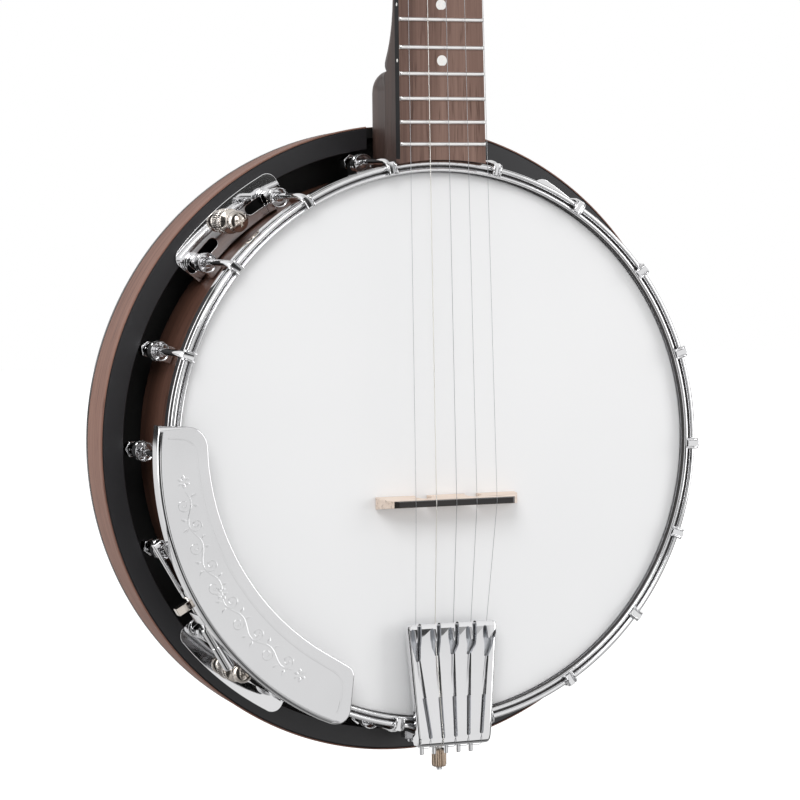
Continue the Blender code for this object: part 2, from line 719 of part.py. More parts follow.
def build_tuners(mats):
    back = PEGHEAD_THICKNESS + GAP
    housing_end = back + HOUSING_LENGTH
    bore = POST_RADIUS + GAP
    for number, (x, z) in enumerate(tuner_places(), start=1):
        place = peghead_matrix() @ Matrix.Translation((x, 0, z))
        origin = place.to_translation()
        housing = turned(
            [
                (bore, back),
                (HOUSING_RADIUS, back),
                (HOUSING_RADIUS, housing_end - 3 * MM),
                (HOUSING_RADIUS - 2 * MM, housing_end),
                (bore, housing_end),
            ],
            16,
        )
        post = turned(
            [
                (0, -POST_HEIGHT),
                (POST_RADIUS * 0.9, -POST_HEIGHT),
                (POST_RADIUS, -POST_HEIGHT + 0.8 * MM),
                (POST_RADIUS * 0.8, -POST_HEIGHT + 4.0 * MM),
                (POST_RADIUS * 0.8, -POST_HEIGHT + 8.0 * MM),
                (POST_RADIUS, -POST_HEIGHT + 11.0 * MM),
                (POST_RADIUS, back + 6 * MM),
                (0, back + 6 * MM),
            ],
            12,
            closed=False,
        )
        knob_shaft = turned(
            [
                (0, housing_end - 8 * MM),
                (POST_RADIUS - 0.2 * MM, housing_end - 8 * MM),
                (POST_RADIUS - 0.2 * MM, housing_end + 1.0 * MM),
                (POST_RADIUS + 0.6 * MM, housing_end + 1.0 * MM),
                (POST_RADIUS + 0.6 * MM, housing_end + 4.0 * MM),
                (0, housing_end + 4.0 * MM),
            ],
            12,
            closed=False,
        )
        knob = fused(knob_shaft, oval_button(15 * MM, 20 * MM, 8 * MM, housing_end + 3 * MM))
        for name, bm, mat in (
            ("tuner_housing_%d", housing, mats["nickel"]),
            ("tuner_post_%d", post, mats["nickel"]),
            ("tuner_knob_%d", knob, mats["pearl"]),
        ):
            made = node(name % number, bm, mat)
            made.rotation_euler = (-PEGHEAD_TILT, 0, 0)
            made.location = origin


def peg_point(x):
    """A point on the fifth string peg's axis."""
    return (x, depth(board_front(PEG_Z) + 9.8 * MM), PEG_Z)


def build_fifth_string_peg(mats):
    start = left_edge(PEG_Z)
    profile = [
        (0, 9.0), (PEG_SHAFT / MM, 9.0), (PEG_SHAFT / MM, -2.0), (2.0, -3.5), (2.0, -8.0),
        (3.2, -9.5), (4.6, -10.5), (4.6, -19.0), (3.6, -20.5), (0, -20.5),
    ]
    shaft = turned([(r * MM, y * MM) for r, y in profile], 12, closed=False)
    button = moved(oval_button(14 * MM, 18 * MM, 7.5 * MM, 0), Matrix.Rotation(pi, 4, "Z"))
    moved(button, Matrix.Translation((0, -19.5 * MM, 0)))
    peg = fused(shaft, button)
    moved(peg, TURN_Y_TO["x"])
    made = node("fifth_string_peg", peg, mats["pearl"])
    made.location = peg_point(start)


# ---------------------------------------------------------------- bridge, tailpiece and strings

def build_bridge(mats):
    """Three feet under a narrow top: an outline across, thinner towards the top."""
    half_base, half_top = BRIDGE_BASE / 2, BRIDGE_TOP / 2
    feet = [(-1.0, -0.44), (-0.27, 0.27), (0.44, 1.0)]
    arch = 8.5 * MM
    outline = []
    for start, end in feet:
        outline.append((start * half_base, 0.3 * MM))
        outline.append((end * half_base, 0.3 * MM))
        if end < 1.0:
            middle = (end + 0.085) * half_base
            outline.append((middle - 4.0 * MM, arch * 0.7))
            outline.append((middle, arch))
            outline.append((middle + 4.0 * MM, arch * 0.7))
    outline.append((half_base, 4.0 * MM))
    outline.append((half_top, BRIDGE_HEIGHT - 1.5 * MM))
    outline.append((half_top, BRIDGE_HEIGHT))
    outline.append((-half_top, BRIDGE_HEIGHT))
    outline.append((-half_top, BRIDGE_HEIGHT - 1.5 * MM))
    outline.append((-half_base, 4.0 * MM))
    sections = []
    for side in (-1, 1):
        section = []
        for x, height in outline:
            share = height / BRIDGE_HEIGHT
            half = (BRIDGE_FOOT_DEPTH + (BRIDGE_TOP_DEPTH - BRIDGE_FOOT_DEPTH) * share) / 2
            section.append((BRIDGE_CENTRE + x, depth(-height), BRIDGE_Z + side * half))
        sections.append(section)
    node("bridge", lofted(sections), mats["maple"])


def tail_top(z):
    """The depth of the tailpiece's face at a height."""
    share = (z - TAIL_FRONT_Z) / (TAIL_BACK_Z - TAIL_FRONT_Z)
    return TAIL_FRONT_TOP + (TAIL_BACK_TOP - TAIL_FRONT_TOP) * share


def string_x(index, z, spacing, centre):
    """Strings run 0 to 4 from the right, so index 4 is the fifth string."""
    return centre + (2 - index) * spacing


def build_tailpiece(mats):
    """A tapered plate with turned-down sides, a strap to the rim's rod, five hitch pins and the knob's stud."""
    stations = [(TAIL_FRONT_Z, TAIL_FRONT_HALF, 0.0), (TAIL_BACK_Z + 3 * MM, TAIL_BACK_HALF, 0.0)]
    stations.append((TAIL_BACK_Z, TAIL_BACK_HALF - 0.6 * MM, 1.4 * MM))
    lip, wall = 3.8 * MM, 1.4 * MM
    sections = []
    for z, half, drop in stations:
        top = tail_top(z) + drop
        plate = TAIL_PLATE - drop * 0.3
        ring = [
            (-half, top + 1.2 * MM), (-half + 1.2 * MM, top), (half - 1.2 * MM, top), (half, top + 1.2 * MM),
            (half, top + lip), (half - wall, top + lip), (half - wall, top + plate),
            (-half + wall, top + plate), (-half + wall, top + lip), (-half, top + lip),
        ]
        sections.append([(TAIL_CENTRE + x, depth(d), z) for x, d in ring])
    body = lofted(sections)
    strap_z = -(HOOK_FROM_AXIS + 2.2 * MM)
    strap = box(
        (-7 * MM, depth(tail_top(TAIL_BACK_Z) + 1.6 * MM), strap_z - 2.2 * MM),
        (9 * MM, depth(ROD_DEPTH + 9 * MM), strap_z),
    )
    stud = rod(1.5 * MM, (TAIL_CENTRE, depth(KNOB_DEPTH), strap_z - MM), (TAIL_CENTRE, depth(KNOB_DEPTH), -171 * MM), 10)
    pins = [box((-15.5 * MM, depth(-6 * MM), strap_z - 3 * MM), (20.5 * MM, depth(-MM), strap_z + MM))]
    for index in range(5):
        x = string_x(index, 0, PIN_SPACING, PIN_CENTRE)
        pins.append(rod(1.1 * MM, (x, depth(-3 * MM), strap_z - MM), (x, depth(-3 * MM), -160 * MM), 8))
    hole = rod(ROD_HOLE, (0, depth(ROD_DEPTH), strap_z - 5 * MM), (0, depth(ROD_DEPTH), strap_z + 5 * MM), 16)
    slits = []
    for index in range(5):
        x = string_x(index, 0, TAIL_SPACING, TAIL_CENTRE)
        slits.append(
            box(
                (x - 0.9 * MM, depth(TAIL_FRONT_TOP - 3 * MM), TAIL_FRONT_Z - 9 * MM),
                (x + 0.9 * MM, depth(TAIL_FRONT_TOP + 3.5 * MM), TAIL_FRONT_Z + 3 * MM),
            )
        )
    node("tailpiece", cut(fused(body, strap, stud, *pins), hole, *slits), mats["chrome"])

    profile = [(1.9, 0), (3.2, 0), (3.5, 1.0), (3.5, 8.6), (3.0, 9.4), (1.9, 9.4)]
    knob = turned([(r * MM, y * MM) for r, y in profile], 14)
    moved(knob, TURN_Y_TO["-z"])
    made = node("tailpiece_knob", knob, mats["nickel"])
    made.location = (TAIL_CENTRE, depth(KNOB_DEPTH), -159.5 * MM)


def build_coordinator_rod(mats):
    """The rod that ties the heel to the tail end, with a nut on each side of the rim."""
    y = depth(ROD_DEPTH)
    strap_back = HOOK_FROM_AXIS + 4.4 * MM + GAP
    bar = rod(ROD_RADIUS, (0, y, -strap_back - 6 * MM), (0, y, 158 * MM), 16)
    nuts = []
    inside = RIM_INSIDE - MM
    for start, end in ((inside - 6 * MM, inside), (-inside, 6 * MM - inside), (-strap_back - 4.5 * MM, -strap_back)):
        nuts.append(rod(6.5 * MM, (0, y, start), (0, y, end), 6))
    node("coordinator_rod", fused(bar, *nuts), mats["steel"])


def string_route(index, radius):
    """The string's points from the tailpiece's pin to its tuner's post."""
    tail_x = string_x(index, 0, TAIL_SPACING, TAIL_CENTRE)
    pin_x = string_x(index, 0, TAIL_SPACING * 0.86, TAIL_CENTRE)
    bridge_x = string_x(index, 0, BRIDGE_SPACING, BRIDGE_CENTRE)
    over = radius + 0.15 * MM
    lift = radius + GAP
    points = [
        (pin_x, tail_top(TAIL_BACK_Z + 6 * MM) - lift, TAIL_BACK_Z + 6 * MM),
        (tail_x, tail_top(TAIL_FRONT_Z) - lift, TAIL_FRONT_Z),
        (tail_x, tail_top(TAIL_FRONT_Z) - lift, TAIL_FRONT_Z + 1.5 * MM),
        (bridge_x, -BRIDGE_HEIGHT - over, BRIDGE_Z - 1.6 * MM),
        (bridge_x, -BRIDGE_HEIGHT - over, BRIDGE_Z + 1.6 * MM),
    ]
    if index == 4:
        peg_x, peg_y, peg_z = peg_point(left_edge(PEG_Z) - 5.8 * MM)
        pip_z = STEP_START + 4 * MM
        points.append((-20.6 * MM, board_front(pip_z) - 2.6 * MM, pip_z))
        points.append((peg_x, peg_y - HEAD_Y - 2.0 * MM - lift, peg_z - 1 * MM))
        points.append((peg_x, peg_y - HEAD_Y - 2.0 * MM - lift, peg_z + 1 * MM))
    else:
        nut_x = NUT_CENTRE + (1.5 - index) * NUT_SPACING
        nut_d = board_front(NUT_Z) - 2.0 * MM - lift
        points.append((nut_x, nut_d, NUT_Z))
        points.append((nut_x, nut_d, NUT_Z + NUT_THICKNESS))
        x, z = tuner_places()[index]
        side = -1 if x > 0 else 1
        near = POST_RADIUS * 0.8 + lift
        before = peghead_matrix() @ Vector((x + side * near, -POST_HEIGHT + 6 * MM, z - 3 * MM))
        after = peghead_matrix() @ Vector((x + side * near, -POST_HEIGHT + 6 * MM, z + 3 * MM))
        points.append((before.x, before.y - HEAD_Y, before.z))
        points.append((after.x, after.y - HEAD_Y, after.z))
    return points


def build_strings(mats):
    for index, radius in enumerate(STRING_RADII):
        points = string_route(index, radius)
        curve = bpy.data.curves.new("string_%d" % (index + 1), "CURVE")
        curve.dimensions = "3D"
        curve.bevel_depth = radius
        curve.bevel_resolution = 0
        curve.use_fill_caps = True
        spline = curve.splines.new("POLY")
        spline.points.add(len(points) - 1)
        for target, (x, d, z) in zip(spline.points, points):
            target.co = (x, depth(d), z, 1)
        curve.materials.append(mats["steel"])
        made = bpy.data.objects.new("string_%d" % (index + 1), curve)
        bpy.context.collection.objects.link(made)


# ---------------------------------------------------------------- armrest

def arm_outline():
    """The armrest's plan of (x, z) points: outer arc, blunt end, inner arc, blunt end."""
    outer = arc(ARM_OUTER_CENTRE, ARM_OUTER_RADIUS, ARM_START, ARM_END, 14)
    inner = arc(ARM_INNER_CENTRE, ARM_INNER_RADIUS, -149.0, -95.5, 12)
    low_corners = ((-55.5 * MM, -142.8 * MM), (-51.8 * MM, -111.6 * MM))
    top_corner = (-129.6 * MM, 14.6 * MM)
    low = rounded_corner(outer[-1], low_corners[0], low_corners[1], 8 * MM)
    low += rounded_corner(low_corners[0], low_corners[1], inner[0], 6 * MM)
    top = rounded_corner(inner[-1], top_corner, outer[0], 11 * MM)
    return outer + low + inner + top


def arm_flange():
    """The turned-down outer edge."""
    outer = arc(ARM_OUTER_CENTRE, ARM_OUTER_RADIUS, ARM_START, ARM_END, 14)
    inner = arc(ARM_OUTER_CENTRE, ARM_OUTER_RADIUS - ARM_PLATE, ARM_END, ARM_START, 14)
    return extruded(outer + inner, depth(ARM_TOP + 0.6 * MM), depth(ARM_FLANGE_BACK))


def at_clamp(bm):
    """Takes a shape built along Z at the clamp's middle to its place, tangent to the pot."""
    place = about_pot(CLAMP_ANGLE) @ Matrix.Translation((0, depth(CLAMP_DEPTH), CLAMP_FROM_AXIS))
    return moved(bm, place @ Matrix.Rotation(-pi / 2, 4, "Y"))


def build_armrest(mats):
    plate = extruded(arm_outline(), depth(ARM_TOP), depth(ARM_TOP + ARM_PLATE))
    lug_front = ARM_FLANGE_BACK - 3 * MM - CLAMP_DEPTH
    lug = box((-1.4 * MM, lug_front, 3 * MM), (2.8 * MM, 5 * MM, 9 * MM))
    eye = rod(2.3 * MM, (0, 0, 0), (0, 0, 12 * MM), 12)
    node("armrest", cut(fused(plate, arm_flange(), at_clamp(lug)), at_clamp(eye)), mats["chrome"])


def build_armrest_clamp(mats):
    """A slotted yoke, its threaded rod with a lock nut, and the barrel that draws it up."""
    yoke = box((-3.0 * MM, -2.0 * MM, -38 * MM), (3.0 * MM, 2.0 * MM, -9 * MM))
    slot = box((-1.2 * MM, -3.0 * MM, -35 * MM), (1.2 * MM, 3.0 * MM, -13 * MM))
    bar = rod(1.8 * MM, (0, 0, -10 * MM), (0, 0, 30 * MM), 10)
    lock_nut = rod(4.2 * MM, (0, 0, -4 * MM), (0, 0, -0.5 * MM), 6)
    clamp = fused(cut(yoke, slot), bar, lock_nut)
    node("armrest_clamp", at_clamp(clamp), mats["nickel"])
    profile = [(2.2, 13.0), (2.9, 13.0), (3.3, 14.0), (3.3, 36.6), (2.7, 38.0), (2.2, 38.0)]
    barrel = turned([(r * MM, y * MM) for r, y in profile], 14)
    moved(barrel, TURN_Y_TO["z"])
    node("armrest_clamp_nut", at_clamp(barrel), mats["chrome"])


# ---------------------------------------------------------------- assembly

def clear_scene():
    for existing in list(bpy.data.objects):
        bpy.data.objects.remove(existing)


def main():
    clear_scene()
    mats = make_materials()
    build_rim(mats)
    build_tone_ring(mats)
    build_drum_head(mats)
    build_tension_hoop(mats)
    build_tension_brackets(mats)
    build_resonator(mats)
    build_flange_brackets(mats)
    build_neck(mats)
    build_fretboard(mats)
    build_nut(mats)
    build_tuners(mats)
    build_fifth_string_peg(mats)
    build_bridge(mats)
    build_tailpiece(mats)
    build_coordinator_rod(mats)
    build_strings(mats)
    build_armrest(mats)
    build_armrest_clamp(mats)


main()
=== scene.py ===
"""The looks of the five-string banjo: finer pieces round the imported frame, materials, light and camera.

The frame's axes: the neck runs along +Z, the head faces -Y, and the origin is the centre of the flat back.
Depths are measured backwards from the head's face. Angles round the pot run from +Z towards +X.
"""

from math import cos, pi, radians, sin, sqrt, tan

import bmesh
import bpy
from mathutils import Matrix, Vector


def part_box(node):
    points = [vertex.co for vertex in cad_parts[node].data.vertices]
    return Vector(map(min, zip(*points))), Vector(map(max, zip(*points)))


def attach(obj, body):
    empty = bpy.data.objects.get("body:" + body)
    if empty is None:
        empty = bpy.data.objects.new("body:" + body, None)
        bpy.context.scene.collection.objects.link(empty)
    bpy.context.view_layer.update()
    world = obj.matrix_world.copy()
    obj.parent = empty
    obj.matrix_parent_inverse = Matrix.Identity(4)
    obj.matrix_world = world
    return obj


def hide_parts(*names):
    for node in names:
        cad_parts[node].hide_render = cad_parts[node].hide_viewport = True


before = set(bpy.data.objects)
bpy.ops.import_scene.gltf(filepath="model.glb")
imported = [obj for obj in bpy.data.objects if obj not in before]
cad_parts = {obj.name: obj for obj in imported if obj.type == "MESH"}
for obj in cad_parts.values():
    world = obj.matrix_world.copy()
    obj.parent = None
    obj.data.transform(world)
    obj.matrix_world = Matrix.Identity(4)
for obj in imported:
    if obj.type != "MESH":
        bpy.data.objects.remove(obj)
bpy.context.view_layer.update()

MM = 0.001
HEAD_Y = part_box("drum_head")[0].y
POT = "pot_and_neck"

# Angles of the tension brackets and of the plates that hold the resonator, in degrees
HOOK_ANGLES = [12.4, 32.6, 52.4, 71.9, 91.4, 110.6] + [20.0 * k + 10.0 for k in range(6, 17)] + [349.3]
PLATE_ANGLES = [42.5, 140.0, 220.0, 320.0]
HOOK_FROM_AXIS = 148.45 * MM
SCREW_FROM_AXIS = 151.3 * MM
GRAIN_RADIUS = 150.0 * MM

# The neck's rules, which the fretboard, frets, dots and strings share. The bridge stands inside the scale.
SCALE = 670.0 * MM
SCALE_START = -33.5 * MM
NECK_LEAN = tan(radians(0.7))
BOARD_START = 147.0 * MM
BOARD_FRONT_AT_START = -10.4 * MM
BOARD_THICKNESS = 6.0 * MM
BOARD_HALF = 23.65 * MM
NUT_Z = SCALE_START + SCALE
NUT_CENTRE = 0.5 * MM
NUT_HALF, NUT_LENGTH = 15.9 * MM, 4.4 * MM
STEP_START, STEP_END = 467.0 * MM, 485.0 * MM
LEFT_AFTER_STEP = -17.0 * MM
PIP_X, PIP_Z = -20.6 * MM, STEP_START + 4 * MM
BRIDGE_Z, BRIDGE_CENTRE = -28.6 * MM, 4.2 * MM
BRIDGE_HEIGHT = 15.2 * MM
TAIL_CENTRE = 3.6 * MM
TAIL_FRONT_Z, TAIL_BACK_Z = -91.0 * MM, -155.0 * MM
TAIL_FRONT_TOP, TAIL_BACK_TOP = -10.5 * MM, -13.5 * MM
KNOB_DEPTH = 9.0 * MM
ROD_DEPTH = 36.0 * MM

# The peghead and the fifth string's peg
PEGHEAD_TILT = radians(13.0)
PEGHEAD_THICKNESS = 14.0 * MM
TUNER_PLACES = [(x * MM, z * MM) for x, z in ((21.0, 52.0), (25.0, 104.0), (-25.0, 104.0), (-21.0, 52.0))]
HOUSING_LENGTH = 17.0 * MM
PEG_Z = 492.0 * MM

# The armrest between its two arcs, and the clamp's place
ARM_TOP, ARM_PLATE, ARM_FLANGE_BACK = -13.8 * MM, 1.8 * MM, -5.4 * MM
ARM_OUTER_CENTRE, ARM_OUTER_RADIUS = (-5.1 * MM, -1.0 * MM), 150.3 * MM
ARM_INNER_CENTRE, ARM_INNER_RADIUS = (0.5 * MM, 8.4 * MM), 129.6 * MM
CLAMP_ANGLE, CLAMP_FROM_AXIS, CLAMP_DEPTH = -120.0, 152.6 * MM, 3.0 * MM


def depth(d):
    return HEAD_Y + d


# ---------------------------------------------------------------- shader nodes

class Nodes:
    """A shader's node tree, built one call at a time."""

    def __init__(self, tree):
        self.tree = tree

    def add(self, kind, inputs=(), **settings):
        node = self.tree.nodes.new(kind)
        for key, value in settings.items():
            setattr(node, key, value)
        for key, value in dict(inputs).items():
            if isinstance(value, bpy.types.NodeSocket):
                self.tree.links.new(value, node.inputs[key])
            else:
                node.inputs[key].default_value = value
        return node

    def math(self, operation, first, second=0.0):
        return self.add("ShaderNodeMath", {0: first, 1: second}, operation=operation).outputs[0]

    def ramp(self, fac, stops):
        made = self.add("ShaderNodeValToRGB", {"Fac": fac})
        elements = made.color_ramp.elements
        elements[0].position, elements[1].position = stops[0][0], stops[-1][0]
        elements[0].color, elements[1].color = (*stops[0][1], 1), (*stops[-1][1], 1)
        for place, colour in stops[1:-1]:
            elements.new(place).color = (*colour, 1)
        return made.outputs["Color"]

    def blend(self, fac, first, second, how="MIX"):
        made = self.add("ShaderNodeMix", data_type="RGBA", blend_type=how)
        for index, value in ((0, fac), (6, first), (7, second)):
            if isinstance(value, bpy.types.NodeSocket):
                self.tree.links.new(value, made.inputs[index])
            elif index == 0:
                made.inputs[index].default_value = value
            else:
                made.inputs[index].default_value = (*value, 1)
        return made.outputs[2]


# ---------------------------------------------------------------- camera, light and floor

def make_camera():
    azimuth, elevation, roll = radians(-22.8769), radians(4.422), radians(-0.3425)
    distance = 1.6495
    back = Vector((sin(azimuth) * cos(elevation), -cos(azimuth) * cos(elevation), sin(elevation)))
    level = (-back).cross(Vector((0, 0, 1))).normalized()
    upright = level.cross(-back)
    right = level * cos(roll) + upright * sin(roll)
    up = upright * cos(roll) - level * sin(roll)
    data = bpy.data.cameras.new("camera")
    data.sensor_width = 36.0
    data.lens = 143.93
    data.shift_x, data.shift_y = -0.0468, 0.0567
    data.clip_start, data.clip_end = 0.05, 60.0
    camera = bpy.data.objects.new("camera", data)
    bpy.context.collection.objects.link(camera)
    turn = Matrix((right, up, back)).transposed().to_4x4()
    camera.matrix_world = Matrix.Translation(Vector((0, HEAD_Y, 0)) + back * distance) @ turn
    bpy.context.scene.camera = camera


def area_light(name, place, aim, size, power):
    data = bpy.data.lights.new(name, "AREA")
    data.shape = "RECTANGLE"
    data.size, data.size_y = size
    data.energy = power
    light = bpy.data.objects.new(name, data)
    light.location = place
    light.rotation_mode = "QUATERNION"
    light.rotation_quaternion = (Vector(aim) - Vector(place)).to_track_quat("-Z", "Y")
    bpy.context.collection.objects.link(light)
    return light


def make_lights():
    area_light("key", (-1.1, -1.9, 1.7), (0, 0, 0), (1.3, 1.3), 28)
    area_light("fill", (2.0, -1.5, 0.5), (0, 0, 0), (1.0, 2.0), 19.5)
    area_light("rim_light", (-1.9, 0.4, 0.5), (0, 0, 0), (0.8, 1.8), 10)


EVEN_TENT = 0.60


def make_world():
    """White behind the banjo, an even tent for its light, and dark gaps in what its metal mirrors."""
    world = bpy.data.worlds.new("studio")
    bpy.context.scene.world = world
    world.use_nodes = True
    world.node_tree.nodes.clear()
    nodes = Nodes(world.node_tree)
    where = nodes.add("ShaderNodeTexCoord").outputs["Generated"]
    split = nodes.add("ShaderNodeSeparateXYZ", {0: where})
    around = nodes.math("ARCTAN2", split.outputs["X"], split.outputs["Y"])
    turn = nodes.add("ShaderNodeMapRange", {"Value": around, "From Min": -pi, "From Max": pi})
    rise = nodes.add("ShaderNodeMapRange", {"Value": split.outputs["Z"], "From Min": -1.0})
    sides = [
        (0.00, 0.90), (0.042, 0.92), (0.052, 0.05), (0.078, 0.05), (0.09, 0.95), (0.12, 0.95),
        (0.135, 0.05), (0.235, 0.05), (0.25, 1.0), (0.35, 1.0), (0.50, 0.80), (0.72, 0.75),
        (0.735, 0.06), (0.83, 0.06), (0.85, 0.90), (1.00, 0.90),
    ]
    heights = [
        (0.0, 0.25), (0.15, 0.50), (0.285, 0.90), (0.29, 0.05), (0.305, 0.05), (0.31, 0.90), (0.476, 0.96),
        (0.482, 0.03), (0.507, 0.04), (0.512, 1.05), (0.62, 1.05), (0.84, 1.0), (1.0, 0.5),
    ]
    screen = [(0.0, 0.0), (0.80, 0.0), (0.86, 0.95), (0.934, 0.95), (0.9375, 0.0), (1.0, 0.0)]

    def greys(direction, stops):
        return nodes.ramp(direction.outputs[0], [(place, (grey, grey, grey)) for place, grey in stops])

    def sky(colour, strength):
        return nodes.add("ShaderNodeBackground", {"Color": colour, "Strength": strength}).outputs[0]

    white = (1, 1, 1, 1)
    upward = nodes.blend(1.0, greys(rise, heights), greys(turn, screen), "LIGHTEN")
    mirrored = nodes.blend(1.0, greys(turn, sides), upward, "MULTIPLY")
    path = nodes.add("ShaderNodeLightPath")
    lit = sky(white, EVEN_TENT)
    for share, shown in (("Is Glossy Ray", sky(mirrored, 1.0)), ("Is Camera Ray", sky(white, 1.0))):
        mix = nodes.add("ShaderNodeMixShader", {"Fac": path.outputs[share], 1: lit, 2: shown})
        lit = mix.outputs[0]
    nodes.add("ShaderNodeOutputWorld", {"Surface": lit})


def make_floor():
    """A white sweep below the banjo, lit so evenly that it meets the white behind it."""
    bm = bmesh.new()
    bmesh.ops.create_grid(bm, x_segments=1, y_segments=1, size=12.0)
    look = Look("floor_white", (0.9, 0.9, 0.9), roughness=0.9)
    look.bump(look.noise(40.0), 0.02, 0.001)
    look.set("Emission Color", (1, 1, 1, 1))
    look.set("Emission Strength", look.span(look.noise(3.0), 0.62, 0.64))
    floor = piece("floor", bm, look.material)
    floor.location = (0, 0, -0.62)
    floor.visible_diffuse = False
    floor.visible_glossy = False


# ---------------------------------------------------------------- materials

class Look(Nodes):
    """A node material while it is being built round its Principled shader."""

    def __init__(self, name, colour, metallic=0.0, roughness=0.4, **sockets):
        self.material = bpy.data.materials.new(name)
        self.material.use_nodes = True
        super().__init__(self.material.node_tree)
        self.shader = self.tree.nodes["Principled BSDF"]
        self.set("Base Color", (*colour, 1.0))
        self.set("Metallic", metallic)
        self.set("Roughness", roughness)
        for key, value in sockets.items():
            self.set(key.replace("_", " "), value)

    def set(self, socket, value):
        if isinstance(value, bpy.types.NodeSocket):
            self.tree.links.new(value, self.shader.inputs[socket])
        else:
            self.shader.inputs[socket].default_value = value

    def place(self):
        """The piece's own coordinates, in metres."""
        return self.add("ShaderNodeTexCoord").outputs["Object"]

    def round_place(self):
        """Coordinates unrolled round the pot: along the arc, backwards, and outwards."""
        split = self.add("ShaderNodeSeparateXYZ", {0: self.place()})
        turn = self.math("ARCTAN2", split.outputs["X"], split.outputs["Z"])
        along = self.math("MULTIPLY", turn, GRAIN_RADIUS)
        flat = self.add("ShaderNodeCombineXYZ", {0: split.outputs["X"], 1: split.outputs["Z"]})
        length = self.add("ShaderNodeVectorMath", {0: flat.outputs[0]}, operation="LENGTH")
        unrolled = {0: along, 1: split.outputs["Y"], 2: length.outputs["Value"]}
        return self.add("ShaderNodeCombineXYZ", unrolled).outputs[0]

    def noise(self, scale, detail=3.0, stretch=(1, 1, 1), place=None, distortion=0.0, rough=0.5):
        sized = self.add("ShaderNodeMapping", {"Vector": place or self.place(), "Scale": stretch})
        settings = {"Vector": sized.outputs[0], "Scale": scale, "Detail": detail}
        settings.update({"Distortion": distortion, "Roughness": rough})
        return self.add("ShaderNodeTexNoise", settings).outputs["Fac"]

    def span(self, fac, low, high):
        return self.add("ShaderNodeMapRange", {"Value": fac, "To Min": low, "To Max": high}).outputs[0]

    def bump(self, height, strength, distance):
        made = self.add("ShaderNodeBump", {"Height": height, "Strength": strength, "Distance": distance})
        self.set("Normal", made.outputs[0])


def metal(name, colour, roughness, smear=0.04):
    """Polished metal whose gloss varies a little, with the faintest waviness."""
    look = Look(name, colour, metallic=1.0, roughness=roughness)
    cloudy = look.noise(60.0, 4.0)
    look.set("Roughness", look.span(cloudy, max(roughness - smear, 0.015), roughness + smear))
    tone = look.ramp(look.noise(25.0), [(0.3, tuple(c * 0.96 for c in colour)), (0.7, colour)])
    look.set("Base Color", tone)
    look.bump(look.noise(300.0, 2.0), 0.02, 0.00005)
    return look.material


def wood(name, dark, middle, light, around=False, roughness=0.42, coat=0.25, along=2):
    """Straight grain along one axis, or round the pot: broad bands, fine fibre, dark pores."""
    look = Look(
        name, middle, roughness=roughness, Coat_Weight=coat, Coat_Roughness=0.25, Specular_IOR_Level=0.3
    )
    place = look.round_place() if around else look.place()
    axis = 0 if around else along
    broad, thread, pore = [26.0] * 3, [420.0] * 3, [900.0] * 3
    broad[axis], thread[axis], pore[axis] = 2.2, 9.0, 45.0
    bands = look.noise(1.0, 3.0, broad, place, 0.6)
    fibre = look.noise(1.0, 4.0, thread, place, 0.2, 0.6)
    pores = look.noise(1.0, 2.0, pore, place)
    mixed = look.math("ADD", look.math("MULTIPLY", bands, 0.6), look.math("MULTIPLY", fibre, 0.4))
    colour = look.ramp(mixed, [(0.36, dark), (0.5, middle), (0.64, light)])
    holes = look.ramp(pores, [(0.58, (1, 1, 1)), (0.70, (0.55, 0.5, 0.48))])
    look.set("Base Color", look.blend(1.0, colour, holes, "MULTIPLY"))
    look.set("Roughness", look.span(fibre, roughness - 0.07, roughness + 0.1))
    look.bump(look.math("ADD", fibre, look.math("MULTIPLY", pores, -0.8)), 0.12, 0.0003)
    return look.material


def satin_black(name, colour, roughness, coat=0.15, gloss=0.5):
    look = Look(
        name, colour, roughness=roughness, Coat_Weight=coat, Coat_Roughness=0.35, Specular_IOR_Level=gloss
    )
    look.set("Roughness", look.span(look.noise(90.0, 4.0), roughness - 0.05, roughness + 0.08))
    look.bump(look.noise(1800.0, 2.0), 0.08, 0.0001)
    return look.material


def head_film():
    """Frosted film with a very fine spray and a faintly uneven tone."""
    look = Look("frosted_film", (0.84, 0.84, 0.85), roughness=0.55)
    tone = look.noise(9.0, 2.0)
    colour = look.ramp(tone, [(0.35, (0.865, 0.867, 0.873)), (0.65, (0.882, 0.883, 0.888))])
    speck = look.noise(2600.0, 2.0)
    shade = look.ramp(speck, [(0.35, (0.985, 0.985, 0.985)), (0.65, (1, 1, 1))])
    look.set("Base Color", look.blend(1.0, colour, shade, "MULTIPLY"))
    look.set("Roughness", look.span(speck, 0.5, 0.68))
    look.bump(speck, 0.12, 0.0001)
    return look.material


def pearl():
    """Nacre: soft clouds of warm and cool white."""
    look = Look("mother_of_pearl", (0.85, 0.84, 0.8), roughness=0.18, Coat_Weight=0.5)
    cloud = look.noise(260.0, 3.0, distortion=1.5)
    clouds = [(0.3, (0.78, 0.80, 0.80)), (0.5, (0.90, 0.88, 0.84)), (0.7, (0.82, 0.78, 0.80))]
    look.set("Base Color", look.ramp(cloud, clouds))
    look.bump(cloud, 0.05, 0.0002)
    return look.material


def plastic(name, colour, roughness):
    look = Look(name, colour, roughness=roughness, Coat_Weight=0.2)
    tone = look.noise(70.0, 3.0)
    shade = tuple(c * 0.94 for c in colour)
    look.set("Base Color", look.ramp(tone, [(0.35, shade), (0.65, colour)]))
    look.set("Roughness", look.span(look.noise(200.0), roughness - 0.04, roughness + 0.05))
    look.bump(look.noise(900.0, 2.0), 0.05, 0.0001)
    return look.material


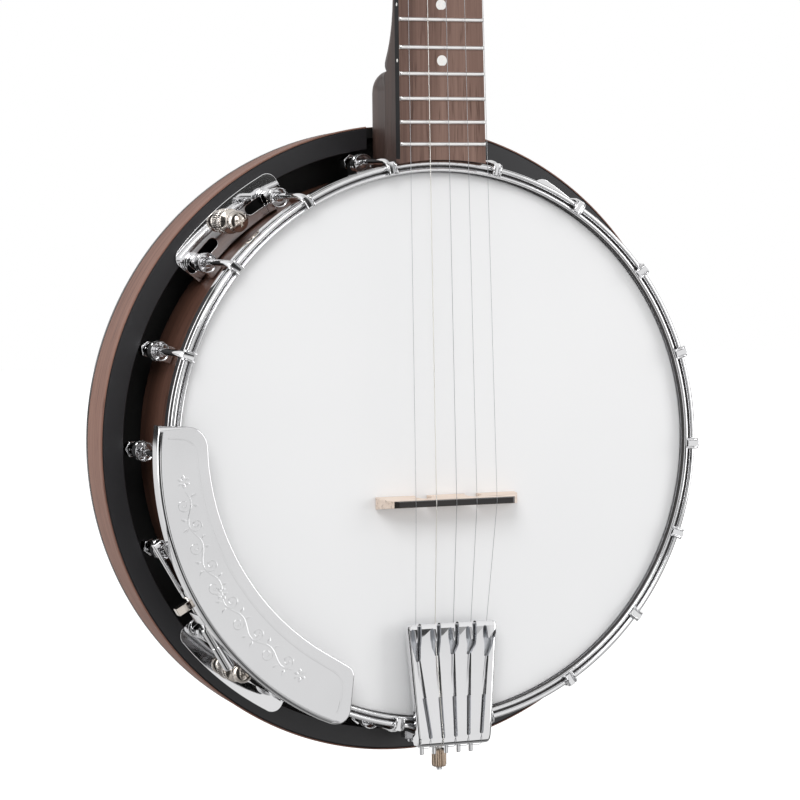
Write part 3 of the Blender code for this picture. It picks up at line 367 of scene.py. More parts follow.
def wound_string():
    """Fine winding, as ridges across the string."""
    look = Look("wound_string", (0.80, 0.78, 0.74), metallic=1.0, roughness=0.3)
    ridges_per_metre = 5200.0
    split = look.add("ShaderNodeSeparateXYZ", {0: look.place()})
    ridges = look.math("SINE", look.math("MULTIPLY", split.outputs["Z"], 2 * pi * ridges_per_metre))
    look.bump(ridges, 0.35, 0.00008)
    look.set("Roughness", look.span(look.noise(90.0), 0.24, 0.38))
    return look.material


def make_materials():
    return {
        "chrome": metal("polished_chrome", (0.86, 0.86, 0.87), 0.04, 0.015),
        "nickel": metal("warm_nickel", (0.72, 0.66, 0.60), 0.10, 0.04),
        "steel": metal("drawn_steel", (0.58, 0.58, 0.60), 0.26, 0.06),
        "brass": metal("aged_brass", (0.70, 0.50, 0.26), 0.25, 0.06),
        "fret": metal("fret_wire", (0.94, 0.93, 0.92), 0.30, 0.05),
        "walnut": wood(
            "walnut_side", (0.16, 0.078, 0.056), (0.26, 0.135, 0.100), (0.345, 0.19, 0.145), True, 0.55, 0.0
        ),
        "walnut_back": wood("walnut_back", (0.16, 0.09, 0.06), (0.27, 0.16, 0.11), (0.36, 0.23, 0.16)),
        "rim": wood(
            "rim_wood", (0.055, 0.024, 0.016), (0.095, 0.044, 0.030), (0.14, 0.068, 0.048), True, 0.45, 0.1
        ),
        "neck": wood(
            "neck_wood", (0.035, 0.018, 0.014), (0.06, 0.033, 0.026), (0.09, 0.052, 0.042), False, 0.45, 0.08
        ),
        "rosewood": wood(
            "rosewood", (0.10, 0.055, 0.042), (0.18, 0.105, 0.082), (0.27, 0.17, 0.135), False, 0.55, 0.05
        ),
        "maple": wood(
            "maple", (0.76, 0.62, 0.52), (0.86, 0.73, 0.63), (0.90, 0.80, 0.71), False, 0.5, 0.1, 0
        ),
        "ebony": wood(
            "ebony", (0.012, 0.010, 0.010), (0.02, 0.017, 0.016), (0.04, 0.032, 0.03), False, 0.4, 0.2, 0
        ),
        "black": satin_black("satin_black", (0.016, 0.0155, 0.018), 0.40),
        "inside": satin_black("resonator_inside", (0.006, 0.006, 0.006), 0.5),
        "plate": metal("pressed_chrome", (0.80, 0.80, 0.81), 0.09, 0.02),
        # Painted shade: a darker, bluish copy of chrome for the plate seen through the tailpiece's slots; its
        # higher roughness is a duller finish.
        "shade": metal("shaded_chrome", (0.60, 0.62, 0.65), 0.28, 0.04),
        "bronze": metal("warm_bronze", (0.56, 0.44, 0.34), 0.2, 0.05),
        "string": metal("string_wire", (0.50, 0.50, 0.52), 0.30, 0.05),
        "binding": satin_black("black_binding", (0.012, 0.012, 0.013), 0.25),
        # Painted shade: a dark finish laid in the hoop's grooves and at the gap by its inner edge.
        "groove_painted_shade": satin_black("painted_shade_in_the_hoop_grooves", (0.030, 0.027, 0.026), 0.45, 0.0, 0.4),
        # Painted shade: a near-black skin for the board's sides, which sit in shadow.
        "edge": satin_black("board_side_painted_shade", (0.010, 0.010, 0.011), 0.6, 0.0, 0.15),
        "film": head_film(),
        "bone": plastic("bone", (0.84, 0.80, 0.70), 0.35),
        "ivory": plastic("ivory_knob", (0.86, 0.83, 0.75), 0.22),
        "pearl": pearl(),
        "wound": wound_string(),
    }


# ---------------------------------------------------------------- mesh helpers

def mesh_of(name, bm):
    mesh = bpy.data.meshes.new(name)
    bm.to_mesh(mesh)
    bm.free()
    return mesh


def piece(name, bm, mat, smooth_angle=35.0):
    return piece_of(name, mesh_of(name, bm), mat, smooth_angle)


def piece_of(name, mesh, mat, smooth_angle=35.0):
    mesh.shade_smooth()
    mesh.set_sharp_from_angle(angle=radians(smooth_angle))
    made = bpy.data.objects.new(name, mesh)
    mesh.materials.clear()
    mesh.materials.append(mat)
    bpy.context.collection.objects.link(made)
    flats = made.modifiers.new("flat_faces_stay_flat", "WEIGHTED_NORMAL")
    flats.keep_sharp = True
    flats.weight = 50
    return made


def stands_for(made, body, slot, *nodes):
    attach(made, body)
    if nodes:
        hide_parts(*nodes)
    return made


def show(name, bm, mat, smooth_angle, body, slot, *nodes):
    """A piece that is built where it belongs, on its body and in place of its nodes."""
    return stands_for(piece(name, bm, mat, smooth_angle), body, slot, *nodes)


def held(share):
    """The share kept between 0 and 1."""
    return min(max(share, 0.0), 1.0)


def turns(count):
    """Evenly spaced angles round a full circle."""
    return [2 * pi * k / count for k in range(count)]


def lathe(profile, segments, closed=True, ripple=None):
    """A profile of (radius, y) turned about the Y axis; ripple may change a ring's radius by angle."""
    bm = bmesh.new()
    rings = []
    for index, (radius, y) in enumerate(profile):
        if radius == 0:
            rings.append([bm.verts.new((0, y, 0))] * segments)
            continue
        ring = []
        for a in turns(segments):
            r = radius + (ripple(index, a) if ripple else 0.0)
            ring.append(bm.verts.new((r * sin(a), y, r * cos(a))))
        rings.append(ring)
    pairs = list(zip(rings, rings[1:]))
    if closed:
        pairs.append((rings[-1], rings[0]))
    for first, second in pairs:
        for i in range(segments):
            j = (i + 1) % segments
            corners = []
            for corner in (first[i], first[j], second[j], second[i]):
                if corner not in corners:
                    corners.append(corner)
            bm.faces.new(corners)
    bmesh.ops.recalc_face_normals(bm, faces=bm.faces)
    return bm


def loft(sections):
    """A closed skin over a row of rings that have the same number of points."""
    bm = bmesh.new()
    rings = [[bm.verts.new(point) for point in section] for section in sections]
    count = len(rings[0])
    for first, second in zip(rings, rings[1:]):
        for i in range(count):
            j = (i + 1) % count
            bm.faces.new((first[i], first[j], second[j], second[i]))
    bm.faces.new(rings[0])
    bm.faces.new(rings[-1])
    bmesh.ops.recalc_face_normals(bm, faces=bm.faces)
    return bm


def slab(outline, front, back):
    """An outline of (x, z) points between two planes of constant Y."""
    return loft([[(x, y, z) for x, z in outline] for y in (front, back)])


def block(low, high, bevel=0.0, segments=2):
    outline = [(low[0], low[2]), (high[0], low[2]), (high[0], high[2]), (low[0], high[2])]
    bm = slab(outline, low[1], high[1])
    if bevel:
        soften(bm, bevel, segments)
    return bm


def soften(bm, width, segments=2, angle=30.0):
    """Rounds every edge sharper than the angle."""
    sharp = [e for e in bm.edges if e.is_manifold and e.calc_face_angle() > radians(angle)]
    bmesh.ops.bevel(bm, geom=sharp, offset=width, segments=segments, affect="EDGES", profile=0.5)
    return bm


def bar(radius, start, end, sides=24):
    start, end = Vector(start), Vector(end)
    along = end - start
    bm = bmesh.new()
    bmesh.ops.create_cone(
        bm, cap_ends=True, segments=sides, radius1=radius, radius2=radius, depth=along.length
    )
    turn = Vector((0, 0, 1)).rotation_difference(along).to_matrix().to_4x4()
    return moved(bm, Matrix.Translation((start + end) / 2) @ turn)


def moved(bm, matrix):
    bmesh.ops.transform(bm, matrix=matrix, verts=bm.verts)
    return bm


def joined(*parts):
    """Several closed shapes in one mesh."""
    out = bmesh.new()
    for part in parts:
        mesh = mesh_of("part", part)
        out.from_mesh(mesh)
        bpy.data.meshes.remove(mesh)
    return out


def combined(base, others, operation):
    """The mesh of one shape with others joined to it or cut from it."""
    made = []
    for index, bm in enumerate([base] + list(others)):
        helper = bpy.data.objects.new("step", mesh_of("step", bm))
        bpy.context.collection.objects.link(helper)
        made.append(helper)
        if index:
            boolean = made[0].modifiers.new("Boolean", "BOOLEAN")
            boolean.operation = operation
            boolean.object = helper
    bpy.context.view_layer.update()
    graph = bpy.context.evaluated_depsgraph_get()
    mesh = bpy.data.meshes.new_from_object(made[0].evaluated_get(graph))
    out = bmesh.new()
    out.from_mesh(mesh)
    bpy.data.meshes.remove(mesh)
    for helper in made:
        data = helper.data
        bpy.data.objects.remove(helper)
        bpy.data.meshes.remove(data)
    return out


def cut(base, *cutters):
    return combined(base, cutters, "DIFFERENCE")


def fused(base, *others):
    return combined(base, others, "UNION")


def about_pot(angle):
    return Matrix.Rotation(radians(angle), 4, "Y")


def arc(centre, radius, start, end, steps):
    found = []
    for i in range(steps + 1):
        a = radians(start + (end - start) * i / steps)
        found.append((centre[0] + radius * sin(a), centre[1] + radius * cos(a)))
    return found


def rounded_corner(before, corner, after, radius, steps=6):
    to_before = Vector((before[0] - corner[0], before[1] - corner[1])).normalized()
    to_after = Vector((after[0] - corner[0], after[1] - corner[1])).normalized()
    half = to_before.angle(to_after) / 2
    centre = Vector(corner) + (to_before + to_after).normalized() * radius / sin(half)
    first = Vector(corner) + to_before * radius / tan(half) - centre
    last = Vector(corner) + to_after * radius / tan(half) - centre
    found = []
    for i in range(steps + 1):
        point = first.lerp(last, i / steps).normalized() * radius + centre
        found.append((point.x, point.y))
    return found


def spline(points, steps):
    """Points along a smooth open curve through the given ones."""
    found = []
    last = len(points) - 1
    for i in range(last):
        a, b, c, d = [Vector(points[min(max(i + k, 0), last)]) for k in (-1, 0, 1, 2)]
        for j in range(steps):
            t = j / steps
            bend = (2 * a - 5 * b + 4 * c - d) * t * t + (3 * b - a - 3 * c + d) * t ** 3
            found.append(tuple((2 * b + (c - a) * t + bend) / 2))
    found.append(tuple(points[last]))
    return found


def wire(points, radii, sides=8):
    """A round wire through the points, of one radius or of a radius for each point."""
    sections = []
    across = None
    for i, point in enumerate(points):
        along = (Vector(points[min(i + 1, len(points) - 1)]) - Vector(points[max(i - 1, 0)])).normalized()
        across = along.orthogonal() if across is None else across - along * across.dot(along)
        across.normalize()
        other = along.cross(across)
        radius = radii[i] if isinstance(radii, list) else radii
        round_it = [(across * cos(a) + other * sin(a)) * radius for a in turns(sides)]
        sections.append([Vector(point) + out for out in round_it])
    return loft(sections)


def mm(profile):
    """A profile of (radius, depth) in millimetres as (radius, y) in metres."""
    return [(r * MM, depth(d * MM)) for r, d in profile]


def in_mm(points):
    """Pairs of millimetres as metres."""
    return [(a * MM, b * MM) for a, b in points]


def at(x, d, z):
    """A point given in millimetres by its place across, its depth and its place along the neck."""
    return (x * MM, depth(d * MM), z * MM)


def spot(x, y, z):
    """A point in millimetres from its own part's origin."""
    return (x * MM, y * MM, z * MM)


def rounded(r, d, radius, angles):
    """A profile's points on a circle about (r, d), at angles in degrees from its front."""
    return [(r + radius * sin(radians(a)), d - radius * cos(radians(a))) for a in angles]


def disc(radius, front, back, segments=144):
    """A solid disc about the pot's axis, its sizes in millimetres."""
    return lathe(mm([(0, front), (radius, front), (radius, back), (0, back)]), segments, closed=False)


def band(inner, outer, front, back, segments=288):
    """A ring of rectangular section about the pot's axis, its sizes in millimetres."""
    return lathe(mm([(inner, front), (inner, back), (outer, back), (outer, front)]), segments)


def round_pot(name, bm, mat, smooth_angle, angles):
    """One mesh shown at each of the angles round the pot, as numbered pieces."""
    mesh = mesh_of(name.partition("_%")[0], bm)
    for number, angle in enumerate(angles, start=1):
        made = piece_of(name % number, mesh, mat, smooth_angle)
        made.rotation_euler = (0, radians(angle), 0)
        yield number, made


def along_rod(radius, start, end, sides=24):
    """A bar on the coordinator rod's line, its sizes in millimetres."""
    y = depth(ROD_DEPTH)
    return bar(radius * MM, (0, y, start * MM), (0, y, end * MM), sides)


def rod_bore(start, end):
    return along_rod(3.9, start, end)


def screw_bore(front, back):
    """The hole for a resonator screw, before it is turned to its place."""
    return bar(2.5 * MM, (0, depth(front * MM), SCREW_FROM_AXIS), (0, depth(back * MM), SCREW_FROM_AXIS))


# ---------------------------------------------------------------- the pot

def make_hoop(mats):
    """The tension hoop: an inner bead, a groove, a broad outer bead, and a stepped outer wall, with dark
    bands of painted shade in its grooves and at its inner edge.
    """
    profile = rounded(141.75, -4.3, 0.95, range(-90, 91, 18))
    profile += [(142.75, -4.2), (143.0, -4.0), (143.05, -2.9), (143.4, -2.5), (143.75, -2.9)]
    profile += rounded(145.1, -4.4, 1.3, range(-90, 91, 15))
    profile += [(146.4, -2.7), (146.2, -2.3), (145.2, -2.0), (144.9, -1.3), (145.3, -0.5)]
    profile += [(146.15, -0.1), (146.35, 0.5), (146.35, 5.6), (146.1, 6.6), (145.5, 7.0), (144.1, 7.0)]
    profile += [(144.1, 3.0), (140.8, 3.0)]
    hoop = lathe(mm(profile), 288)
    show("tension_hoop_bright", hoop, mats["chrome"], 50, POT, "chrome", "tension_hoop")
    # Thin dark bands of painted shade: in the groove, in the outer wall's step, and on the inner wall as the
    # shadow gap above the head.
    groove, step = band(143.0, 143.8, -3.6, -2.6), band(145.0, 145.95, -2.15, -0.55)
    wall = band(140.74, 141.0, -4.1, -1.0)
    show("hoop_grooves_painted_shade", joined(groove, step, wall), mats["groove_painted_shade"], 40, POT, "chrome")


def claw_shape():
    """The hook's end over the hoop: two rounded ribs side by side, with a bead at each end."""
    stations = [
        (141.3, 0.5, 0.9), (141.6, 1.0, 0.35), (142.4, 1.2, 0.05), (144.0, 1.2, 0.0),
        (146.0, 1.2, 0.2), (147.0, 1.1, 1.2), (147.7, 0.9, 2.6), (148.0, 0.5, 3.8),
    ]
    parts = []
    for side in (-1, 1):
        sections = []
        for z, thick, drop in stations:
            ring = []
            for a in turns(12):
                x = side * 2.05 + 0.75 * cos(a) * min(1.0, thick + 0.1)
                ring.append(at(x, -7.35 + drop * 0.5 + thick * sin(a), z))
            sections.append(ring)
        parts.append(loft(sections))
    parts.append(block(at(-1.6, -6.7, 142.0), at(1.6, -6.1, 148.2), 0.2 * MM))
    return joined(*parts)


def hook_shape():
    """The shaft: slightly flattened where it leaves the claw, then round."""
    stations = [
        (-6.6, 1.9, 0.9, 3.1), (-6.0, 2.0, 1.3, 2.5), (-4.6, 2.0, 1.45, 1.5), (-2.0, 1.9, 1.5, 0.6),
        (1.0, 1.75, 1.6, 0.1), (6.0, 1.7, 1.7, 0.0), (56.3, 1.7, 1.7, 0.0),
    ]
    sections = []
    for d, wide, deep, lean in stations:
        ring = []
        for a in turns(16):
            ring.append((wide * cos(a) * MM, depth(d * MM), HOOK_FROM_AXIS + (deep * sin(a) - lean) * MM))
        sections.append(ring)
    return loft(sections)


def shoe_shape():
    """A turned cup with rings behind its mouth, a boss inside, and a foot that sits on the rim."""
    middle = 147.55
    cup = [
        (0.0, 30.4), (0.9, 30.5), (1.8, 30.9), (2.5, 31.6), (2.85, 32.6), (2.9, 33.6), (3.1, 34.6),
        (4.2, 34.2), (4.5, 31.6), (4.75, 31.1), (5.1, 31.1), (5.25, 31.5), (5.25, 33.6), (4.8, 33.9),
        (4.8, 34.5), (5.2, 34.8), (5.2, 36.2), (4.75, 36.5), (4.75, 37.1), (5.1, 37.4), (5.1, 38.6),
        (4.6, 39.2), (4.4, 40.0), (4.35, 44.6), (4.0, 45.5), (3.6, 45.7), (0.0, 45.7),
    ]
    turned = moved(lathe(mm(cup), 32, closed=False), Matrix.Translation((0, 0, middle * MM)))
    return joined(turned, block(at(-4.3, 32.4, 140.0), at(4.3, 45.6, middle), 0.6 * MM))


def hook_nut_shape():
    nut = bar(4.55 * MM, (0, depth(48.0 * MM), HOOK_FROM_AXIS), (0, depth(54.4 * MM), HOOK_FROM_AXIS), 6)
    return soften(nut, 0.35 * MM, 2)


def make_brackets(mats):
    shape = joined(claw_shape(), hook_shape(), shoe_shape(), hook_nut_shape())
    for number, made in round_pot("tension_bracket_bright_%02d", shape, mats["chrome"], 40, HOOK_ANGLES):
        stands_for(made, POT, "chrome", "tension_bracket_%02d" % number)


def plate_outline():
    """A plate along the ring with rounded outer corners."""
    spread, inner_radius, outer_radius = 13.0, 141.0 * MM, 160.0 * MM
    inner = arc((0, 0), inner_radius, spread, -spread, 16)
    outer = arc((0, 0), outer_radius, -spread, spread, 32)
    first = rounded_corner(inner[-1], outer[0], outer[1], 6 * MM, 8)
    last = rounded_corner(outer[-2], outer[-1], inner[0], 6 * MM, 8)
    limit = min(abs(first[-1][0]), abs(last[0][0])) - 0.5 * MM
    return inner + first + [p for p in outer if abs(p[0]) < limit] + last


def slot_outline(middle):
    reach, half_width = 3.2, 2.7 * MM
    outer = arc((0, 0), HOOK_FROM_AXIS + half_width, middle - reach, middle + reach, 4)
    inner = arc((0, 0), HOOK_FROM_AXIS - half_width, middle + reach, middle - reach, 4)
    right_centre = arc((0, 0), HOOK_FROM_AXIS, middle + reach, 0, 1)[0]
    left_centre = arc((0, 0), HOOK_FROM_AXIS, middle - reach, 0, 1)[0]
    right = arc(right_centre, half_width, middle, middle + 180, 10)
    left = arc(left_centre, half_width, middle + 180, middle + 360, 10)
    return outer[1:-1] + right + inner[1:-1] + left


def make_plates(mats):
    cutters = [slab(slot_outline(side * 8.4), depth(45 * MM), depth(49 * MM)) for side in (-1, 1)]
    cutters.append(screw_bore(45, 49))
    plate = soften(cut(slab(plate_outline(), depth(46.0 * MM), depth(47.5 * MM)), *cutters), 0.35 * MM, 2, 50)
    for number, made in round_pot("flange_plate_bright_%d", plate, mats["chrome"], 40, PLATE_ANGLES):
        stands_for(made, POT, "chrome", "flange_bracket_%d" % number)


def screw_shape():
    """A domed cross-head screw with a waist and a knurled collar."""
    ball, ball_centre = 5.65, 30.1
    profile = [(0.0, ball_centre - ball)] + rounded(0.0, ball_centre, ball, range(12, 149, 12))
    profile += [(3.0, 35.3), (3.0, 37.7), (3.3, 38.3), (4.8, 38.8), (6.1, 39.4)]
    knurled = len(profile)
    profile += [(6.4, 39.9), (6.4, 41.0), (5.9, 41.3), (5.9, 41.6), (6.4, 41.9), (6.4, 44.6)]
    ends = len(profile)
    profile += [(6.0, 45.3), (5.0, 45.8), (2.1, 45.8), (2.1, 63.5), (1.6, 64.0), (0.0, 64.0)]

    def ripple(index, angle):
        return 0.16 * MM * cos(36 * angle) if knurled <= index < ends else 0.0

    screw = lathe(mm(profile), 144, closed=False, ripple=ripple)
    cutters = []
    for turn in (20, 110):
        tip = block(at(-2.9, 23, -0.6), at(2.9, 26.6, 0.6))
        cutters.append(moved(tip, about_pot(turn)))
    return cut(screw, *cutters)


def make_screws(mats):
    for number, made in round_pot("thumbscrew_%d", screw_shape(), mats["nickel"], 30, PLATE_ANGLES):
        made.location = about_pot(PLATE_ANGLES[number - 1]) @ Vector((0, 0, SCREW_FROM_AXIS))
        stands_for(made, "screw_%d" % number, "nickel", "resonator_screw_%d" % number)


def make_head(mats):
    """The film, turned down over the flesh hoop just inside the tension hoop."""
    profile = [(0, 0.0), (60, 0.0), (120, 0.0), (136.5, 0.0), (139.3, 0.02), (140.1, 0.15), (140.43, 0.6)]
    profile += [(140.45, 3.4), (143.3, 3.4), (143.6, 3.7), (143.6, 7.1), (143.3, 7.4), (140.0, 7.4)]
    profile += [(140.0, 0.9), (139.6, 0.5), (0, 0.5)]
    film = lathe(mm(profile), 288, closed=False)
    show("head_film", film, mats["film"], 50, POT, "head_film", "drum_head")


def make_rim(mats):
    """The laminated rim, with eased edges."""
    profile = [(120.7, 8.3), (121.5, 7.5), (138.9, 7.5), (139.7, 8.3)]
    profile += [(139.7, 64.6), (138.3, 66.0), (122.1, 66.0), (120.7, 64.6)]
    rim = cut(lathe(mm(profile), 240), rod_bore(-150, 150))
    show("laminated_rim", rim, mats["rim"], 40, POT, "walnut", "rim")


def make_rod(mats):
    """The rod through the pot, with its hexagonal nuts and round washers."""
    parts = [along_rod(3.5, -159.3, 158, 28)]
    for start, end in ((113.7, 119.7), (-119.7, -113.7), (-157.65, -153.15)):
        parts.append(soften(along_rod(6.5, start, end, 6), 0.6 * MM))
    for start, end in ((119.3, 120.5), (-120.5, -119.3)):
        parts.append(soften(along_rod(9.0, start, end, 36), 0.3 * MM))
    show("coordinator_rod_steel", joined(*parts), mats["steel"], 35, POT, "steel", "coordinator_rod")


def heel_notch():
    return block(at(-19, 37.9, 139.7), at(19, 61, 190))


def make_resonator(mats):
    """A dark bowl inside a thin walnut side, a bound walnut back, and the dark ring in front."""
    bowl = [(0.0, 80.9), (161.6, 80.9), (163.9, 78.6), (165.2, 48.6), (164.9, 48.3), (165.0, 51.7)]
    bowl += [(160.4, 51.7), (159.9, 53.0), (158.6, 72.0), (156.5, 76.0), (152.5, 77.5), (0.0, 77.5)]
    lugs, bores = [], []
    for angle in PLATE_ANGLES:
        lugs.append(moved(block(at(-10, 52.2, 147), at(10, 68, 162), 1.2 * MM), about_pot(angle)))
        bores.append(moved(screw_bore(48, 65), about_pot(angle)))
    inside = cut(fused(lathe(mm(bowl), 240, closed=False), *lugs), heel_notch(), *bores)
    show("resonator_bowl_black", inside, mats["inside"], 35, "resonator", "walnut", "resonator_shell")

    side = [(165.75, 48.9), (165.5, 48.35), (165.0, 48.3), (163.6, 77.4), (163.95, 77.45), (164.1, 77.1)]
    veneer = cut(lathe(mm(side), 240), heel_notch())
    show("resonator_side_veneer", veneer, mats["walnut"], 35, "resonator", "walnut")

    binding = [(163.7, 77.55), (164.15, 77.6), (164.2, 79.6), (163.4, 80.9), (162.2, 81.45), (160.2, 81.48)]
    binding = lathe(mm(binding + [(160.2, 80.5), (162.5, 79.5)]), 240)
    show("resonator_back_binding", binding, mats["binding"], 35, "resonator", "black_satin")

    back = disc(160.1, 81.42, 80.4, 240)
    show("resonator_back_walnut", back, mats["walnut_back"], 35, "resonator", "walnut")

    rings = []
    for radius, half in ((151.0, 1.1), (147.4, 0.45), (96.0, 0.8), (93.6, 0.3)):
        rings.append(band(radius - half, radius + half, 81.3, 81.48, 240))
    show("resonator_back_inlay", joined(*rings), mats["ivory"], 35, "resonator", "bone")

    face = [(153.8, 48.3), (154.2, 47.9), (164.2, 47.9), (164.7, 48.4), (164.7, 51.4), (153.8, 51.4)]
    ring = cut(lathe(mm(face), 240), heel_notch())
    show("resonator_ring_black", ring, mats["black"], 35, "resonator", "black_satin", "resonator_ring")


# ---------------------------------------------------------------- the tailpiece

HANGING = Matrix.Rotation(-pi / 2, 4, "X")
POCKET_CENTRES = [23.5, 13.85, 4.0, -6.15, -17.0]
SLOT_STARTS = [(22.1, -109.7), (12.3, -108.2), (3.2, -107.7), (-5.6, -108.0), (-16.2, -110.7)]
SLOT_ENDS = [(18.3, -149.2), (11.0, -149.6), (3.8, -150.0), (-3.2, -150.4), (-10.2, -150.2)]


def tail_top(z):
    share = (z - TAIL_FRONT_Z) / (TAIL_BACK_Z - TAIL_FRONT_Z)
    return TAIL_FRONT_TOP + (TAIL_BACK_TOP - TAIL_FRONT_TOP) * share


def pocket_outline(index):
    """A hooked pocket: a round lobe, a tongue, and a slit to the front edge, or to the side in the first."""
    centre = POCKET_CENTRES[index]
    start_x, start_z = SLOT_STARTS[index]
    points = [(-3.1, -99.0), (-3.1, -95.2), (-2.9, -94.2), (-2.4, -93.5), (-1.8, -93.3), (-1.2, -93.5)]
    points += [(-0.7, -94.2), (-0.5, -96.0), (-0.3, -98.6), (0.15, -100.4)]
    if index == 0:
        points += [(1.6, -98.4), (4.5, -95.2), (4.5, -98.0), (3.0, -100.5), (2.0, -104.0)]
    else:
        points += [(0.6, -100.0), (0.75, -98.0), (0.75, -86.0), (3.05, -86.0), (3.1, -98.0), (2.4, -103.0)]
    outline = [(centre + x, z) for x, z in points]
    for x, z in ((1.35, 1.2), (0.9, 0.3), (-0.9, 0.3), (-1.35, 1.2)):
        outline.append((start_x + x, start_z + z))
    outline.append((centre - 2.4, -103.0))
    return in_mm(outline)


def slot_outline_tail(index):
    (x1, z1), (x2, z2) = SLOT_STARTS[index], SLOT_ENDS[index]
    points = [(x1 - 1.25, z1 + 1.5), (x1 + 1.25, z1 + 1.5), (x2 + 1.05, z2 + 1.0)]
    return in_mm(points + [(x2 + 0.7, z2), (x2 - 0.7, z2), (x2 - 1.05, z2 + 1.0)])


def tail_plate():
    """The tapered plate with rolled sides, a rounded front edge, and a rolled rear bend."""
    stations = [(-91.0, 22.4, 1.5), (-91.25, 23.9, 0.7), (-92.0, 24.8, 0.15), (-93.5, 25.1, 0.0)]
    stations += [(z, 25.2 - (z + 91.0) / -64.0 * 5.0, 0.0) for z in (-100, -110, -120, -130, -140, -148)]
    stations += [(-150.5, 20.5, 0.15), (-152.3, 20.4, 0.75), (-153.6, 20.2, 1.7), (-154.5, 19.9, 3.0)]
    stations += [(-155.0, 19.5, 4.6), (-155.1, 19.2, 6.4)]
    roll, wall, inside = 1.7, 1.3, 2.0
    sections = []
    for z, half, drop in stations:
        top = tail_top(z * MM) / MM + drop
        lip = max(3.9, 8.0 - drop) if z < -149 else 3.9
        ring = []
        for k in range(7):
            a = pi / 2 * k / 6
            ring.append((-half + roll - roll * cos(a), top + roll - roll * sin(a)))
        ring += [(-x, d) for x, d in reversed(ring)]
        ring += [(half, top + lip), (half - wall, top + lip), (half - wall, top + inside)]
        ring += [(-half + wall, top + inside), (-half + wall, top + lip), (-half, top + lip)]
        sections.append([(TAIL_CENTRE + x * MM, depth(d * MM), z * MM) for x, d in ring])
    return loft(sections)


def make_tail_plate(mats):
    """The pierced plate, and the duller one that shows through its slots, its darker bluish colour painted
    shade.
    """
    cutters = []
    for index in range(5):
        cutters.append(slab(pocket_outline(index), depth(-16 * MM), depth(-8.3 * MM)))
        cutters.append(slab(slot_outline_tail(index), depth(-17 * MM), depth(-10.3 * MM)))
    show("tailpiece_plate", cut(tail_plate(), *cutters), mats["chrome"], 30, POT, "chrome", "tailpiece")

    sections = []
    for z, half in ((-92.5, 23.4), (-152.0, 18.9)):
        top = tail_top(z * MM) + 3.2 * MM
        ring = [(-half, top), (half, top), (half, top + 0.6 * MM), (-half, top + 0.6 * MM)]
        sections.append([(TAIL_CENTRE + x * MM, depth(d), z * MM) for x, d in ring])
    show("tailpiece_inner_plate", soften(loft(sections), 0.2 * MM, 1), mats["shade"], 30, POT, "chrome")


def make_tail_strap(mats):
    """The strap down to the rod, with its threaded stud, its crossbar and five hitch pins."""
    parts = [cut(block(at(-7, -9.0, -152.85), at(9, 45, -150.65), 0.7 * MM, 3), rod_bore(-160, -145))]
    stud_y = depth(KNOB_DEPTH)
    parts.append(bar(1.5 * MM, (TAIL_CENTRE, stud_y, -151 * MM), (TAIL_CENTRE, stud_y, -170.6 * MM)))
    ridge = in_mm([(1.45, 0), (1.62, 0.3), (1.45, 0.6), (1.0, 0.3)])
    for k in range(16):
        place = Matrix.Translation((TAIL_CENTRE, stud_y, (-153.5 - k * 1.05) * MM))
        parts.append(moved(lathe(ridge, 20), place @ HANGING))
    parts.append(block(at(-15.5, -6, -153.6), at(21.5, -0.5, -149.5), 0.8 * MM))
    pin = in_mm([(0, 0), (1.15, 0), (1.15, 6.3), (0.9, 6.7), (0, 6.7)])
    for k in range(-2, 3):
        place = Matrix.Translation(at(2.6 + 6.9 * k, -3, -153.3))
        parts.append(moved(lathe(pin, 20, closed=False), place @ HANGING))
    show("tailpiece_strap", joined(*parts), mats["chrome"], 35, POT, "chrome")


def make_tail_knob(mats):
    """The fluted thumb nut on the stud."""
    profile = [(1.9, 0.0), (3.3, 0.0), (3.75, 0.5), (3.9, 1.2)]
    profile += [(3.9, 8.3), (3.6, 9.1), (3.1, 9.4), (1.9, 9.4)]

    def flutes(index, angle):
        return -0.4 * MM * (0.5 + 0.5 * cos(18 * angle)) ** 2 if 2 < index < 6 else 0.0

    knob = moved(lathe(in_mm(profile), 128, ripple=flutes), HANGING)
    knob = piece("tailpiece_thumb_nut", knob, mats["bronze"], 30)
    knob.location = (TAIL_CENTRE, depth(KNOB_DEPTH), -159.5 * MM)
    stands_for(knob, "tail_knob", "nickel", "tailpiece_knob")


# ---------------------------------------------------------------- the armrest

def arm_outline():
    outer = arc(ARM_OUTER_CENTRE, ARM_OUTER_RADIUS, -83.5, -154.0, 60)
    inner = arc(ARM_INNER_CENTRE, ARM_INNER_RADIUS, -149.0, -95.5, 48)
    low = ((-55.5 * MM, -142.8 * MM), (-51.8 * MM, -111.6 * MM))
    outline = outer + rounded_corner(outer[-1], low[0], low[1], 8 * MM, 12)
    outline += rounded_corner(low[0], low[1], inner[0], 6 * MM, 12) + inner
    return outline + rounded_corner(inner[-1], (-129.6 * MM, 14.6 * MM), outer[0], 11 * MM, 12)


